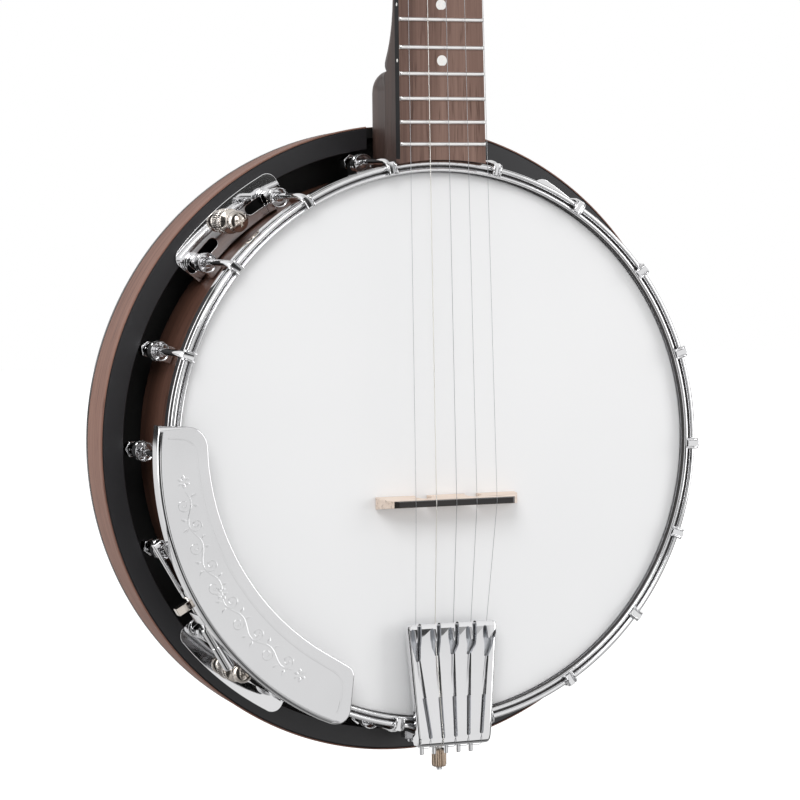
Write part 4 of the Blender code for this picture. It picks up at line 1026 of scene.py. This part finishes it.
def arm_plate():
    """The plate, its rounded edge, the flange along its outer arc, and the border line on its face."""
    outline = [Vector(p) for p in arm_outline()]
    count = len(outline)
    inward, outerness = [], []
    for i, point in enumerate(outline):
        along = (outline[(i + 1) % count] - outline[i - 1]).normalized()
        inward.append(Vector((along.y, -along.x)))
        from_centre = (point - Vector(ARM_OUTER_CENTRE)).length / MM
        share = held((from_centre - ARM_OUTER_RADIUS / MM + 2.6) / 2.2)
        outerness.append(share * share * (3 - 2 * share))
    middle, past_outer_arc = 30, 65
    if (outline[middle] + inward[middle] * MM).length > outline[middle].length:
        inward = [-n for n in inward]
    steps = [(1.0 - sin(a), 1.0 - cos(a)) for a in [pi / 2 * k / 6 for k in range(7)]]
    sections = []
    for inset, drop in steps:
        ring = []
        for point, normal, share in zip(outline, inward, outerness):
            radius = (0.8 + 1.9 * share) * MM
            x, z = point + normal * radius * inset
            ring.append((x, depth(ARM_TOP + radius * drop), z))
        sections.append(ring)
    for inset, down in ((0.0, -0.3), (0.3, 0.0), (1.5, 0.0), (1.7, None)):
        ring = []
        for point, normal, share in zip(outline, inward, outerness):
            end = ARM_TOP + ARM_PLATE + 0.4 * MM + (ARM_FLANGE_BACK - ARM_TOP - ARM_PLATE) * share
            d = ARM_TOP + ARM_PLATE if down is None else end + down * MM
            x, z = point + normal * inset * MM
            ring.append((x, depth(d), z))
        sections.append(ring)
    line = [point + normal * 6.2 * MM for point, normal in list(zip(outline, inward))[past_outer_arc:]]
    along_top = outline[0] - outline[-1]
    line.append(line[-1] + along_top.normalized() * (along_top.length - 4.5 * MM))
    line = evenly_spaced(line, 0.8 * MM)
    for _ in range(50):
        line = line[:1] + [(a + b * 2 + c) / 4 for a, b, c in zip(line, line[1:], line[2:])] + line[-1:]
    border = wire([(x, 0, z) for x, z in line], 0.42 * MM, 10)
    moved(border, Matrix.Translation((0, depth(ARM_TOP), 0)) @ Matrix.Diagonal((1, 0.16, 1, 1)))
    return joined(loft(sections), border)


def evenly_spaced(points, step):
    """The same path with its points a step apart."""
    placed, left = [points[0]], step
    for start, end in zip(points, points[1:]):
        length = (end - start).length
        while length > 0 and left <= length:
            placed.append(start.lerp(end, left / length))
            left += step
        left -= length
    return placed


def on_armrest(along, across):
    """A place on the armrest's face: along its middle arc, and across it, in millimetres."""
    angle = radians(-121.0) - along / 140.0
    radius = (140.6 + across) * MM
    return Vector((-2.3 * MM + radius * sin(angle), 0, 3.7 * MM + radius * cos(angle)))


def stroke(steps, place_at, radius_at):
    """A wire whose place and radius follow a share that goes from 0 to 1."""
    shares = [i / steps for i in range(steps + 1)]
    return wire([place_at(t) for t in shares], [radius_at(t) * MM for t in shares])


def scroll_ornament():
    """Raised scrollwork: a waving stem with a curl and two leaves at each bend, and three rosettes."""
    wave, reach, swing = 22.0, 55.0, 1.9
    parts = []
    stem = [on_armrest(s, swing * sin(2 * pi * s / wave)) for s in [-reach + i * 1.1 for i in range(101)]]
    parts.append(wire(stem, 0.38 * MM))
    for bend in range(-9, 11, 2):
        s = bend * wave / 4
        side = 1 if bend % 4 == 1 else -1

        def curl(t):
            a = side * (pi / 2 - 2 * pi * 1.45 * t)
            r = 4.4 * (1 - t) + 0.8 * t
            return on_armrest(s + 1.0 + r * 0.8 * cos(a), side * -2.0 + r * 0.85 * sin(a))

        parts.append(stroke(33, curl, lambda t: 0.42 - 0.1 * t + (0.35 if t == 1 else 0)))
        for lean, length in ((0.5, 3.2), (-0.7, 2.6)):

            def leaf(t):
                return on_armrest(s + lean * 3 + length * t * lean, side * (swing + 0.6 + length * t))

            parts.append(stroke(8, leaf, lambda t: 0.2 + 0.7 * sin(pi * t) * (1 - 0.35 * t)))
    for s in (-reach - 5.0, 0.0, reach + 5.0):
        for a in turns(6):

            def petal(t):
                out = 0.9 + 2.5 * t
                return on_armrest(s + out * cos(a), 0.3 + out * sin(a))

            parts.append(stroke(6, petal, lambda t: 0.22 + 0.6 * sin(pi * t)))
    ornament = joined(*parts)
    return moved(ornament, Matrix.Translation((0, depth(ARM_TOP), 0)) @ Matrix.Diagonal((1, 0.15, 1, 1)))


def make_armrest(mats):
    lug = block(spot(-1.4, -11.4, 3), spot(2.8, 5, 9), 0.6 * MM)
    eye = bar(2.3 * MM, (0, 0, 0), (0, 0, 12 * MM))
    parts = [arm_plate(), at_clamp(cut(lug, eye))]
    show("armrest_plate", joined(*parts), mats["plate"], 28, POT, "chrome", "armrest")
    show("armrest_scrollwork", scroll_ornament(), mats["plate"], 60, POT, "chrome")


def at_clamp(bm):
    """Takes a shape built along Z at the clamp's middle to its place, tangent to the pot."""
    place = about_pot(CLAMP_ANGLE) @ Matrix.Translation((0, depth(CLAMP_DEPTH), CLAMP_FROM_AXIS))
    return moved(bm, place @ Matrix.Rotation(-pi / 2, 4, "Y"))


def turned_along_z(profile, segments=36):
    """A closed profile of (radius, place) in millimetres, turned about Z."""
    return moved(lathe(in_mm(profile), segments), Matrix.Rotation(pi / 2, 4, "X"))


def make_clamp(mats):
    """The slotted yoke, threaded rod and cross nut of the clamp, and its knurled barrel."""
    yoke = block(spot(-3, -1.9, -38), spot(3, 1.9, -9))
    slot = block(spot(-1.35, -3, -35), spot(1.35, 3, -12.5))
    parts = [soften(cut(yoke, slot), 0.7 * MM, 3)]
    thread = [(1.0, -11.0), (1.8, -11.0)]
    for k in range(52):
        z = -10.0 + k * 0.75
        thread += [(1.8, z), (1.62, z + 0.37)]
    thread += [(1.8, 29.6), (1.4, 30.0), (1.0, 30.0)]
    parts.append(turned_along_z(thread, 24))
    collar = [(1.0, -9.6), (2.6, -9.6), (2.9, -9.0), (2.9, -6.6), (2.3, -5.6), (1.0, -5.6)]
    parts.append(turned_along_z(collar))
    show("armrest_clamp_yoke", at_clamp(joined(*parts)), mats["chrome"], 30, POT, "nickel", "armrest_clamp")

    nut = soften(block(spot(-4.2, -2.4, -4), spot(9.4, 2.4, 0.2)), 0.45 * MM)
    show("armrest_clamp_cross_nut", at_clamp(nut), mats["nickel"], 30, POT, "nickel")

    barrel = [(2.2, 13.0), (2.8, 13.0), (3.1, 13.5)]
    for k in range(13):
        z = 14.0 + k * 0.8
        barrel += [(3.3, z), (3.3, z + 0.45), (3.12, z + 0.55), (3.12, z + 0.7)]
    barrel += [(3.3, 24.6), (3.3, 36.4), (3.1, 37.2), (2.7, 38.0), (2.2, 38.0)]
    made = at_clamp(turned_along_z(barrel, 48))
    show("armrest_clamp_barrel", made, mats["chrome"], 30, "clamp_nut", "chrome", "armrest_clamp_nut")


# ---------------------------------------------------------------- neck and strings

def board_front(z):
    return BOARD_FRONT_AT_START + (z - BOARD_START) * NECK_LEAN


def right_edge(z):
    end = NUT_CENTRE + NUT_HALF
    return BOARD_HALF + (end - BOARD_HALF) * (z - BOARD_START) / (NUT_Z - BOARD_START)


def left_edge(z):
    end = NUT_CENTRE - NUT_HALF
    narrow = LEFT_AFTER_STEP + (end - LEFT_AFTER_STEP) * (z - STEP_END) / (NUT_Z - STEP_END)
    share = held((z - STEP_START) / (STEP_END - STEP_START))
    return -BOARD_HALF + (narrow + BOARD_HALF) * (1 - cos(pi * share)) / 2


def fret_z(number):
    return SCALE_START + SCALE * 2 ** (-number / 12)


def fret_wire(z):
    """One fret across the board: a rounded crown that is lower at its ends."""
    half, sunk = 1.05 * MM, 0.3 * MM
    left, right = left_edge(z) + 0.05 * MM, right_edge(z) - 0.05 * MM
    stations = [(left, 0.35), (left + 0.5 * MM, 0.85), (left + 1.1 * MM, 1.0)]
    stations += [(right - 1.1 * MM, 1.0), (right - 0.5 * MM, 0.85), (right, 0.35)]
    sections = []
    for x, share in stations:
        ring = [(x, depth(board_front(z - half) + sunk), z - half)]
        for k in range(9):
            a = pi * k / 8
            place = z - half * cos(a)
            ring.append((x, depth(board_front(place) - half * share * sin(a)), place))
        ring.append((x, depth(board_front(z + half) + sunk), z + half))
        sections.append(ring)
    return loft(sections)


def board_stations():
    """Places along the board, closer together where its left edge steps in."""
    stations = [BOARD_START - 3.0 * MM, BOARD_START]
    stations += [BOARD_START + (STEP_START - BOARD_START) * i / 24 for i in range(1, 25)]
    stations += [STEP_START + (STEP_END - STEP_START) * i / 12 for i in range(1, 13)]
    return stations + [STEP_END + (NUT_Z - 0.3 * MM - STEP_END) * i / 10 for i in range(1, 11)]


def make_board(mats):
    """The fretboard with slightly rounded edges, its lower end following the hoop."""
    sections = []
    ease, nick = 0.5 * MM, 0.15 * MM
    for z in board_stations():
        front = board_front(z)
        left, right = left_edge(z), right_edge(z)
        ring = [(left, front + ease), (left + nick, front + nick), (left + ease, front)]
        ring += [(right - ease, front), (right - nick, front + nick), (right, front + ease)]
        ring += [(right, front + BOARD_THICKNESS), (left, front + BOARD_THICKNESS)]
        sections.append([(x, depth(d), z) for x, d in ring])
    board = cut(loft(sections), disc(146.55, -30, 7.7, 288))
    show("rosewood_board", board, mats["rosewood"], 30, POT, "rosewood", "fretboard")


def make_board_edges(mats):
    """Painted shade on the sides of the board, as a thin dark skin on it."""
    edges = []
    for edge, side in ((left_edge, -1), (right_edge, 1)):
        sections = []
        for z in board_stations()[1:]:
            x, front = edge(z), board_front(z)
            inside, outside = x - side * 0.4 * MM, x + side * 0.05 * MM
            ring = [(inside, front + 0.5 * MM), (outside, front + 0.6 * MM)]
            ring += [(outside, front + BOARD_THICKNESS), (inside, front + BOARD_THICKNESS)]
            sections.append([(w, depth(d), z) for w, d in ring])
        edges.append(loft(sections))
    show("board_sides_painted_shade", joined(*edges), mats["edge"], 30, POT, "rosewood")


def make_frets(mats):
    wires = [fret_wire(fret_z(number)) for number in range(1, 23)]
    show("fret_wires", joined(*wires), mats["fret"], 40, POT, "steel")


def make_dots(mats):
    """Pearl dots on the board and small ones on its side, two on the board at the twelfth fret."""
    dots = []
    for number in (3, 5, 7, 10, 12, 15, 17, 19):
        z = (fret_z(number) + fret_z(number - 1)) / 2
        left, front = left_edge(z), board_front(z)
        middle = (left + right_edge(z)) / 2
        for side in (-6.5, 6.5) if number == 12 else (0.0,):
            x = middle + side * MM
            dots.append(bar(2.75 * MM, (x, depth(front + 0.6 * MM), z), (x, depth(front - 0.03 * MM), z), 32))
        y = depth(front + 3.0 * MM)
        dots.append(bar(0.9 * MM, (left + 0.5 * MM, y, z), (left - 0.09 * MM, y, z), 20))
    show("pearl_dots", joined(*dots), mats["pearl"], 40, POT, "pearl")


def string_x(index, spacing, centre):
    """The strings run 0 to 4 from the right, so index 4 is the fifth string."""
    return centre + (2 - index) * spacing


def neck_back(z):
    """The depth of the neck's back: a block of a heel, a flare, then the shaft."""
    at_heel, heel_top, heel_round = 26.0 * MM, 192.0 * MM, 10.0 * MM
    if z <= heel_top:
        rise = max((z - heel_top + heel_round) / heel_round, 0)
        return at_heel + (59.0 * MM - at_heel) * sqrt(max(1 - rise * rise, 0))
    along = (z - SHAFT_START) / (NUT_Z - SHAFT_START)
    shaft = board_front(z) + (21.5 - 1.0 * max(along, 0)) * MM
    return shaft if z >= SHAFT_START else at_heel + (shaft - at_heel) * flare_share(z)


def flare_share(z):
    """0 where the neck leaves the heel, 1 where the shaft has its own shape."""
    share = held((z - FLARE_START) / (SHAFT_START - FLARE_START))
    return 1 - (1 - share) ** 2


FLARE_START, SHAFT_START = 197.0 * MM, 237.0 * MM
SHAFT_SECTION = [(1.0, 0.0), (1.0, 0.10), (0.93, 0.36), (0.79, 0.62), (0.58, 0.83), (0.31, 0.96), (0.0, 1.0)]
FLARE_SECTION = [(1.0, 0.0), (1.0, 0.36), (0.955, 0.53), (0.85, 0.74), (0.64, 0.91), (0.34, 0.98), (0.0, 1.0)]
HEEL_SECTION = [(1.0, 0.0), (1.0, 0.23), (0.85, 0.33), (0.75, 0.60), (0.62, 0.86), (0.34, 0.97), (0.0, 1.0)]


def blended(first, second, share):
    return [(w1 + (w2 - w1) * share, d1 + (d2 - d1) * share) for (w1, d1), (w2, d2) in zip(first, second)]


def neck_section(z):
    front = board_front(z) + BOARD_THICKNESS + 0.05 * MM
    back = neck_back(z)
    heel_share = held((194.0 * MM - z) / (10.0 * MM))
    left, right = left_edge(z), right_edge(z)
    middle, half = (left + right) / 2, (right - left) / 2
    shape = blended(blended(FLARE_SECTION, SHAFT_SECTION, flare_share(z)), HEEL_SECTION, heel_share)
    side = [(half * width, front + (back - front) * down) for width, down in shape]
    side = [side[0]] + spline(side[1:], 4)
    points = [(middle + w, d) for w, d in side]
    points += [(middle - w, d) for w, d in reversed(side[:-1])]
    return [(x, depth(d), z) for x, d in points]


def peghead_matrix():
    """Peghead coordinates to the world: x across, y backwards from its face, z towards its tip."""
    start = Vector((NUT_CENTRE, depth(board_front(NUT_Z) + BOARD_THICKNESS + 0.3 * MM), NUT_Z + 4.7 * MM))
    return Matrix.Translation(start) @ Matrix.Rotation(-PEGHEAD_TILT, 4, "X")


def peghead_outline(inset=0.0):
    tip = 158
    along = [(1, 16.2), (8, 17.5), (20, 24.0), (34, 33.0), (52, 34.5), (78, 35.5), (108, 38.5), (128, 39.5)]
    crown = [(128, 39.5), (137, 37.5), (144, 31.0), (149, 22.0), (152, 13.0), (157, 4.0), (tip, 0.0)]
    smooth = spline(along, 5) + spline(crown, 4)[1:]
    right = in_mm([(w - inset if w > inset else 0.0, s - inset * s / tip) for s, w in smooth])
    return right + [(-x, s) for x, s in reversed(right[:-1])]


def on_peghead(bm):
    return moved(bm, peghead_matrix())


def tuner_holes():
    return [bar(4.2 * MM, (x, -5 * MM, z), (x, 19 * MM, z)) for x, z in TUNER_PLACES]


def make_neck(mats):
    """The heel, shaft and peghead, cut out where the pot, the rod and the pegs go."""
    heel_top = 192.0
    stations = [139, 144, 150, 156, 162, 168, 174, 179]
    stations += [heel_top - 10 + 10 * sin(pi / 2 * k / 9) for k in range(10)]
    stations += [193, 194.5, 196.5, 199, 202, 206, 210, 215, 222, 230, 250, 280, 310, 340, 370, 400]
    stations += [430, 455] + [467 + 1.5 * k for k in range(13)] + [500, 530, 560, 590, 620, 640, 646]
    shaft = loft([neck_section(z * MM) for z in stations])
    peg = peg_point(0)
    peg_hole = bar(2.9 * MM, (-30 * MM, peg.y, peg.z), (-2 * MM, peg.y, peg.z))
    pot_room = [disc(140, -30, 80), disc(146.7, -30, 7.7)]
    shaft = cut(shaft, *pot_room, rod_bore(130, 162), peg_hole)
    peghead = soften(slab(peghead_outline(), 1.0 * MM, PEGHEAD_THICKNESS), 1.4 * MM, 3, 60)
    neck = joined(shaft, on_peghead(cut(peghead, *tuner_holes())))
    show("neck_mahogany", neck, mats["neck"], 30, POT, "neck_wood", "neck")


def make_veneer(mats):
    veneer = cut(soften(slab(peghead_outline(0.35), 0.0, 1.3 * MM), 0.3 * MM, 1, 60), *tuner_holes())
    show("peghead_veneer", on_peghead(veneer), mats["ebony"], 30, POT, "black_satin")


def make_truss_cover(mats):
    """A bell-shaped cover held by three slotted screws."""
    right = [(5, 5), (6, 9), (9, 15), (9.5, 20), (7, 26), (3, 32), (0, 35)]
    cover = [(-5, 5)] + right + [(-x, z) for x, z in reversed(right[1:-1])]
    cover = soften(slab(in_mm(cover), -1.6 * MM, 0.1 * MM), 0.5 * MM, 2, 50)
    show("truss_rod_cover", on_peghead(cover), mats["black"], 30, POT, "black_satin")

    screws = []
    for x, z in ((-6.3, 19), (6.3, 19), (0, 30.5)):
        dome = lathe(in_mm([(0, -0.7), (0.9, -0.5), (1.4, 0), (0, 0)]), 20, closed=False)
        slit = block(spot(x - 1.6, -2.6, z - 0.2), spot(x + 1.6, -2.0, z + 0.2))
        screws.append(cut(moved(dome, Matrix.Translation(spot(x, -1.55, z))), slit))
    show("truss_cover_screws", on_peghead(joined(*screws)), mats["chrome"], 30, POT, "nickel")


def make_inlay(mats):
    """Three four-pointed pearl stars up the peghead."""
    inlays = []
    for z, wide, high in ((78, 4.6, 12.0), (98, 6.4, 9.0), (122, 8.0, 13.0)):
        outline = []
        for a in turns(16):
            pinch = 0.45 + 0.55 * abs(cos(2 * a))
            outline.append((wide * sin(a) * pinch, z + high * cos(a) * pinch))
        inlays.append(slab(in_mm(outline), -0.04 * MM, 0.4 * MM))
    show("peghead_inlay", on_peghead(joined(*inlays)), mats["pearl"], 30, POT, "pearl")


def nut_slot_x(index):
    """The four long strings at the nut, from the right."""
    return NUT_CENTRE + (1.5 - index) * 8.5 * MM


def make_nut(mats):
    top = board_front(NUT_Z) - 2.0 * MM
    foot = board_front(NUT_Z) + BOARD_THICKNESS - 0.3 * MM
    low = (NUT_CENTRE - NUT_HALF, depth(top), NUT_Z)
    high = (NUT_CENTRE + NUT_HALF, depth(foot), NUT_Z + NUT_LENGTH)
    slots = []
    for index in range(4):
        x = nut_slot_x(index)
        start, end = (x, depth(top + 0.05 * MM), NUT_Z - MM), (x, depth(top + 0.35 * MM), NUT_Z + 6 * MM)
        slots.append(bar(0.3 * MM, start, end, 12))
    body = cut(block(low, high, 0.55 * MM, 3), *slots)
    show("string_nut_bone", body, mats["bone"], 30, POT, "bone", "nut")

    pip = lathe(in_mm([(0, -2.3), (0.8, -2.2), (1.3, -1.6), (1.5, 0.5), (0, 0.5)]), 24, closed=False)
    place = Matrix.Translation((PIP_X, depth(board_front(PIP_Z)), PIP_Z))
    show("fifth_string_pip", moved(pip, place), mats["ivory"], 30, POT, "bone")


# ---------------------------------------------------------------- tuners and pegs

def button(length, width, thick, foot):
    """A soft oval button with a waist at its foot, standing along Y."""
    stations = [
        (0.0, 0.42), (0.03, 0.55), (0.12, 0.80), (0.25, 0.95), (0.45, 1.0),
        (0.62, 0.99), (0.8, 0.9), (0.92, 0.72), (0.98, 0.5), (1.0, 0.3),
    ]
    sections = []
    for share, size in stations:
        half_width = width / 2 * size
        half_thick = thick / 2 * (0.55 + 0.45 * size)
        ring = []
        for a in turns(40):
            z = half_thick * sin(a) * min(1, size + 0.25)
            ring.append((half_width * cos(a), foot + length * share, z))
        sections.append(ring)
    return loft(sections)


def make_tuners(mats):
    """Geared tuners: a post, a bushing and a barrel on the peghead, and a button on a shaft behind."""
    back = PEGHEAD_THICKNESS + 0.3 * MM
    end = back + HOUSING_LENGTH
    b, e = back / MM, end / MM
    housing = [(3.3, b), (8.0, b), (8.0, b + 1.6), (7.4, b + 2.0), (7.4, b + 3.0), (7.8, b + 3.4)]
    housing += [(7.8, b + 11.0), (7.3, b + 11.5), (7.3, b + 12.3), (7.8, b + 12.8), (7.8, e - 2.6)]
    housing += [(7.0, e - 0.9), (6.0, e), (3.3, e)]
    post = [(0.0, -16.0), (2.2, -16.0), (2.7, -15.7), (2.9, -15.0), (2.75, -14.0), (2.4, -12.5)]
    post += [(2.3, -10.5), (2.4, -8.5), (2.75, -6.5), (3.0, -5.0), (3.0, b + 6), (0.0, b + 6)]
    collar = [(3.3, -2.4), (4.6, -2.4), (5.6, -1.6), (6.2, -0.9), (6.4, -0.05), (3.3, -0.05)]
    shaft = [(0.0, e - 8), (2.8, e - 8), (2.8, e + 0.4), (4.4, e + 0.4), (4.6, e + 0.9), (4.6, e + 2.2)]
    shaft += [(3.6, e + 3.4), (0.0, e + 3.4)]
    cap = [(0.0, e + 17.4), (1.6, e + 17.4), (2.2, e + 17.8)]
    cap += [(2.0, e + 18.4), (1.0, e + 18.75), (0.0, e + 18.8)]

    def knurl(index, angle):
        return 0.12 * MM * cos(40 * angle) if 4 < index < 8 else 0.0

    for number, (x, z) in enumerate(TUNER_PLACES, start=1):
        hole = bar(0.7 * MM, spot(-5, -11.5, 0), spot(5, -11.5, 0), 12)
        drilled = cut(lathe(in_mm(post), 40, closed=False), hole)
        shaft_and_cap = joined(lathe(in_mm(shaft), 40, closed=False), lathe(in_mm(cap), 32, closed=False))
        post_body, knob_body = "post_%d" % number, "knob_%d" % number
        grip = button(15 * MM, 20 * MM, 8 * MM, end + 3 * MM)
        barrel = lathe(in_mm(housing), 120, ripple=knurl)
        bushing = lathe(in_mm(collar), 40)
        made = (
            ("tuner_barrel_%d", barrel, "chrome", POT, "nickel", "tuner_housing_%d"),
            ("tuner_string_post_%d", drilled, "chrome", post_body, "nickel", "tuner_post_%d"),
            ("tuner_bushing_%d", bushing, "chrome", POT, "nickel"),
            ("tuner_button_%d", grip, "ivory", knob_body, "pearl", "tuner_knob_%d"),
            ("tuner_button_shaft_%d", shaft_and_cap, "chrome", knob_body, "nickel"),
        )
        for name, bm, mat, body, slot, *nodes in made:
            one = piece(name % number, bm, mats[mat], 35)
            one.matrix_world = peghead_matrix() @ Matrix.Translation((x, 0, z))
            stands_for(one, body, slot, *[node % number for node in nodes])


def peg_point(x):
    return Vector((x, depth(board_front(PEG_Z) + 9.8 * MM), PEG_Z))


def make_fifth_peg(mats):
    """The geared peg beside the fifth fret: a post, a housing and an oval button."""
    profile = [(0.0, 9.0), (2.4, 9.0), (2.6, 8.6), (2.6, -1.0), (2.3, -2.6), (1.9, -3.6), (1.8, -5.6)]
    profile += [(2.0, -7.6), (2.9, -8.8), (3.9, -9.4), (4.6, -10.4), (4.6, -12.6), (4.3, -12.9)]
    profile += [(4.3, -13.6), (4.6, -13.9), (4.6, -18.6), (4.2, -19.6), (3.0, -20.4), (0.0, -20.4)]
    barrel = lathe(in_mm(profile), 48, closed=False)
    grip = moved(button(14 * MM, 18 * MM, 7.5 * MM, 0), Matrix.Rotation(pi, 4, "Z"))
    grip = moved(grip, Matrix.Translation((0, -19.5 * MM, 0)))
    for name, bm, mat, slot, nodes in (
        ("fifth_peg_barrel", barrel, "chrome", "nickel", ()),
        ("fifth_peg_button", grip, "ivory", "pearl", ("fifth_string_peg",)),
    ):
        made = piece(name, moved(bm, Matrix.Rotation(-pi / 2, 4, "Z")), mats[mat], 35)
        made.location = peg_point(left_edge(PEG_Z))
        stands_for(made, "fifth_peg", slot, *nodes)


def bridge_solid(outline, half_at):
    """An outline of (x, height) on the bridge, with half its thickness given for each height."""
    sections = []
    for side in (-1, 1):
        section = []
        for x, height in outline:
            z = BRIDGE_Z + side * half_at(height) * MM
            section.append((BRIDGE_CENTRE + x * MM, depth(-height * MM), z))
        sections.append(section)
    return loft(sections)


def make_bridge(mats):
    """Three maple feet under arches, thinning upwards to an ebony cap with five notches."""
    half_base, half_top = 39.0, 32.2
    flank = [(3.3, -1), (3.3, 0.8), (4.6, 4.8), (3.2, 7.2), (1.7, 8.3)]
    arch = [(-x, height) for x, height in flank] + [(0, 8.7)] + flank[::-1]
    foot, cap, crest = 4.0, 12.9, 15.2
    shoulder = half_base - (cap - foot) * (half_base - half_top) / (crest - foot)
    outline = [(-half_base, 0.3), (half_base, 0.3), (half_base, foot)]
    outline += [(shoulder, cap), (-shoulder, cap), (-half_base, foot)]

    def thinning(height):
        return (6.4 + (3.0 - 6.4) * height / crest) / 2

    base = soften(bridge_solid(outline, thinning), 0.25 * MM, 2, 50)
    arches = []
    for middle in (-0.355 * half_base, 0.355 * half_base):
        arches.append(bridge_solid([(middle + x, height) for x, height in arch], lambda height: 6))
    show("bridge_maple", cut(base, *arches), mats["maple"], 30, POT, "maple", "bridge")

    points = [(-shoulder, cap), (shoulder, cap), (half_top, 14.6), (half_top - 0.5, 15.15)]
    for index in range(5):
        x = (2 - index) * 11.3
        points += [(x + 0.45, crest), (x + 0.18, 14.75), (x - 0.18, 14.75), (x - 0.45, crest)]
    points += [(-half_top + 0.5, 15.15), (-half_top, 14.6)]
    show("bridge_ebony", bridge_solid(points, thinning), mats["ebony"], 30, POT, "maple")


STRING_RADII = [0.13 * MM, 0.14 * MM, 0.165 * MM, 0.25 * MM, 0.13 * MM]


def string_path(index, radius):
    """From the hitch pin over the rear bend, along the slot, over the bridge and nut to the post."""
    (x1, z1), (x2, z2) = [in_mm([ends[index]])[0] for ends in (SLOT_STARTS, SLOT_ENDS)]
    bridge_x = string_x(index, 11.3 * MM, BRIDGE_CENTRE)
    pin_x = (2.6 + 6.9 * (2 - index)) * MM
    over = BRIDGE_HEIGHT + radius - 0.2 * MM
    far = (POCKET_CENTRES[index] + (0.2 if index else -0.6)) * MM
    points = [
        (pin_x, 1.0 * MM, -157.0 * MM),
        (pin_x, -4.5 * MM, -156.4 * MM),
        (x2, -9.0 * MM, -155.9 * MM),
        (x2, tail_top(z2) + 0.9 * MM, -154.4 * MM),
        (x2, tail_top(z2) - 0.25 * MM, -152.0 * MM),
        (x2, tail_top(z2) + 0.1 * MM, z2),
        (x1, tail_top(z1) + 0.6 * MM, z1),
        (far, TAIL_FRONT_TOP + 0.9 * MM, -97 * MM),
        (far, TAIL_FRONT_TOP + 0.7 * MM, TAIL_FRONT_Z),
        (bridge_x, -over, BRIDGE_Z - 1.0 * MM),
        (bridge_x, -over, BRIDGE_Z + 1.0 * MM),
    ]
    if index == 4:
        peg = peg_point(left_edge(PEG_Z) - 5.8 * MM)
        d = board_front(PIP_Z) - 2.4 * MM
        points += [(PIP_X, d, PIP_Z - 1.0 * MM), (PIP_X, d, PIP_Z + 1.0 * MM)]
        points += [(peg.x, peg.y - HEAD_Y - 1.95 * MM - radius, peg.z - 0.5 * MM)]
    else:
        d = board_front(NUT_Z) - 1.95 * MM - radius
        points += [(nut_slot_x(index), d, NUT_Z), (nut_slot_x(index), d + 0.3 * MM, NUT_Z + NUT_LENGTH)]
        x, z = TUNER_PLACES[index]
        touch = peghead_matrix() @ Vector((x - (2.4 * MM + radius) * (1 if x > 0 else -1), -9.6 * MM, z))
        points.append((touch.x, touch.y - HEAD_Y, touch.z))
    return [(x, depth(d), z) for x, d, z in points]


def winding(radius, core, coils, pitch):
    """A string wound round a post that stands along Y."""
    points = []
    for i in range(int(coils * 20) + 1):
        a = 2 * pi * i / 20
        points.append(((core + radius) * cos(a), pitch * i / 20, (core + radius) * sin(a)))
    return wire(points, radius, 6)


def make_strings(mats):
    for index, radius in enumerate(STRING_RADII):
        number = index + 1
        mat = mats["wound"] if index == 3 else mats["string"]
        string = wire(string_path(index, radius), radius, 10)
        show("playing_string_%d" % number, string, mat, 60, POT, "steel", "string_%d" % number)
        if index < 4:
            coil = piece("string_winding_%d" % number, winding(radius, 2.36 * MM, 3.2, 0.62 * MM), mat, 60)
            x, z = TUNER_PLACES[index]
            coil.matrix_world = peghead_matrix() @ Matrix.Translation((x, -11.4 * MM, z))
            stands_for(coil, "post_%d" % number, "steel")
        else:
            coil = moved(winding(radius, 1.85 * MM, 3.2, 0.45 * MM), Matrix.Rotation(-pi / 2, 4, "Z"))
            coil = piece("string_winding_5", coil, mat, 60)
            coil.location = peg_point(left_edge(PEG_Z) - 6.4 * MM)
            stands_for(coil, "fifth_peg", "steel")


def assign_kept_nodes(mats):
    """A procedural material for the one CAD node that stays visible."""
    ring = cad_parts["tone_ring"].data
    ring.materials.clear()
    ring.materials.append(mats["brass"])
    ring.shade_smooth()
    ring.set_sharp_from_angle(angle=radians(60))


def main():
    bpy.context.scene.view_settings.view_transform = "Standard"
    make_camera()
    make_world()
    make_lights()
    make_floor()
    mats = make_materials()
    make_hoop(mats)
    make_brackets(mats)
    make_plates(mats)
    make_screws(mats)
    make_head(mats)
    make_rim(mats)
    make_rod(mats)
    make_resonator(mats)
    make_tail_plate(mats)
    make_tail_strap(mats)
    make_tail_knob(mats)
    make_armrest(mats)
    make_clamp(mats)
    make_board(mats)
    make_board_edges(mats)
    make_frets(mats)
    make_dots(mats)
    make_neck(mats)
    make_veneer(mats)
    make_truss_cover(mats)
    make_inlay(mats)
    make_nut(mats)
    make_tuners(mats)
    make_fifth_peg(mats)
    make_bridge(mats)
    make_strings(mats)
    assign_kept_nodes(mats)


main()
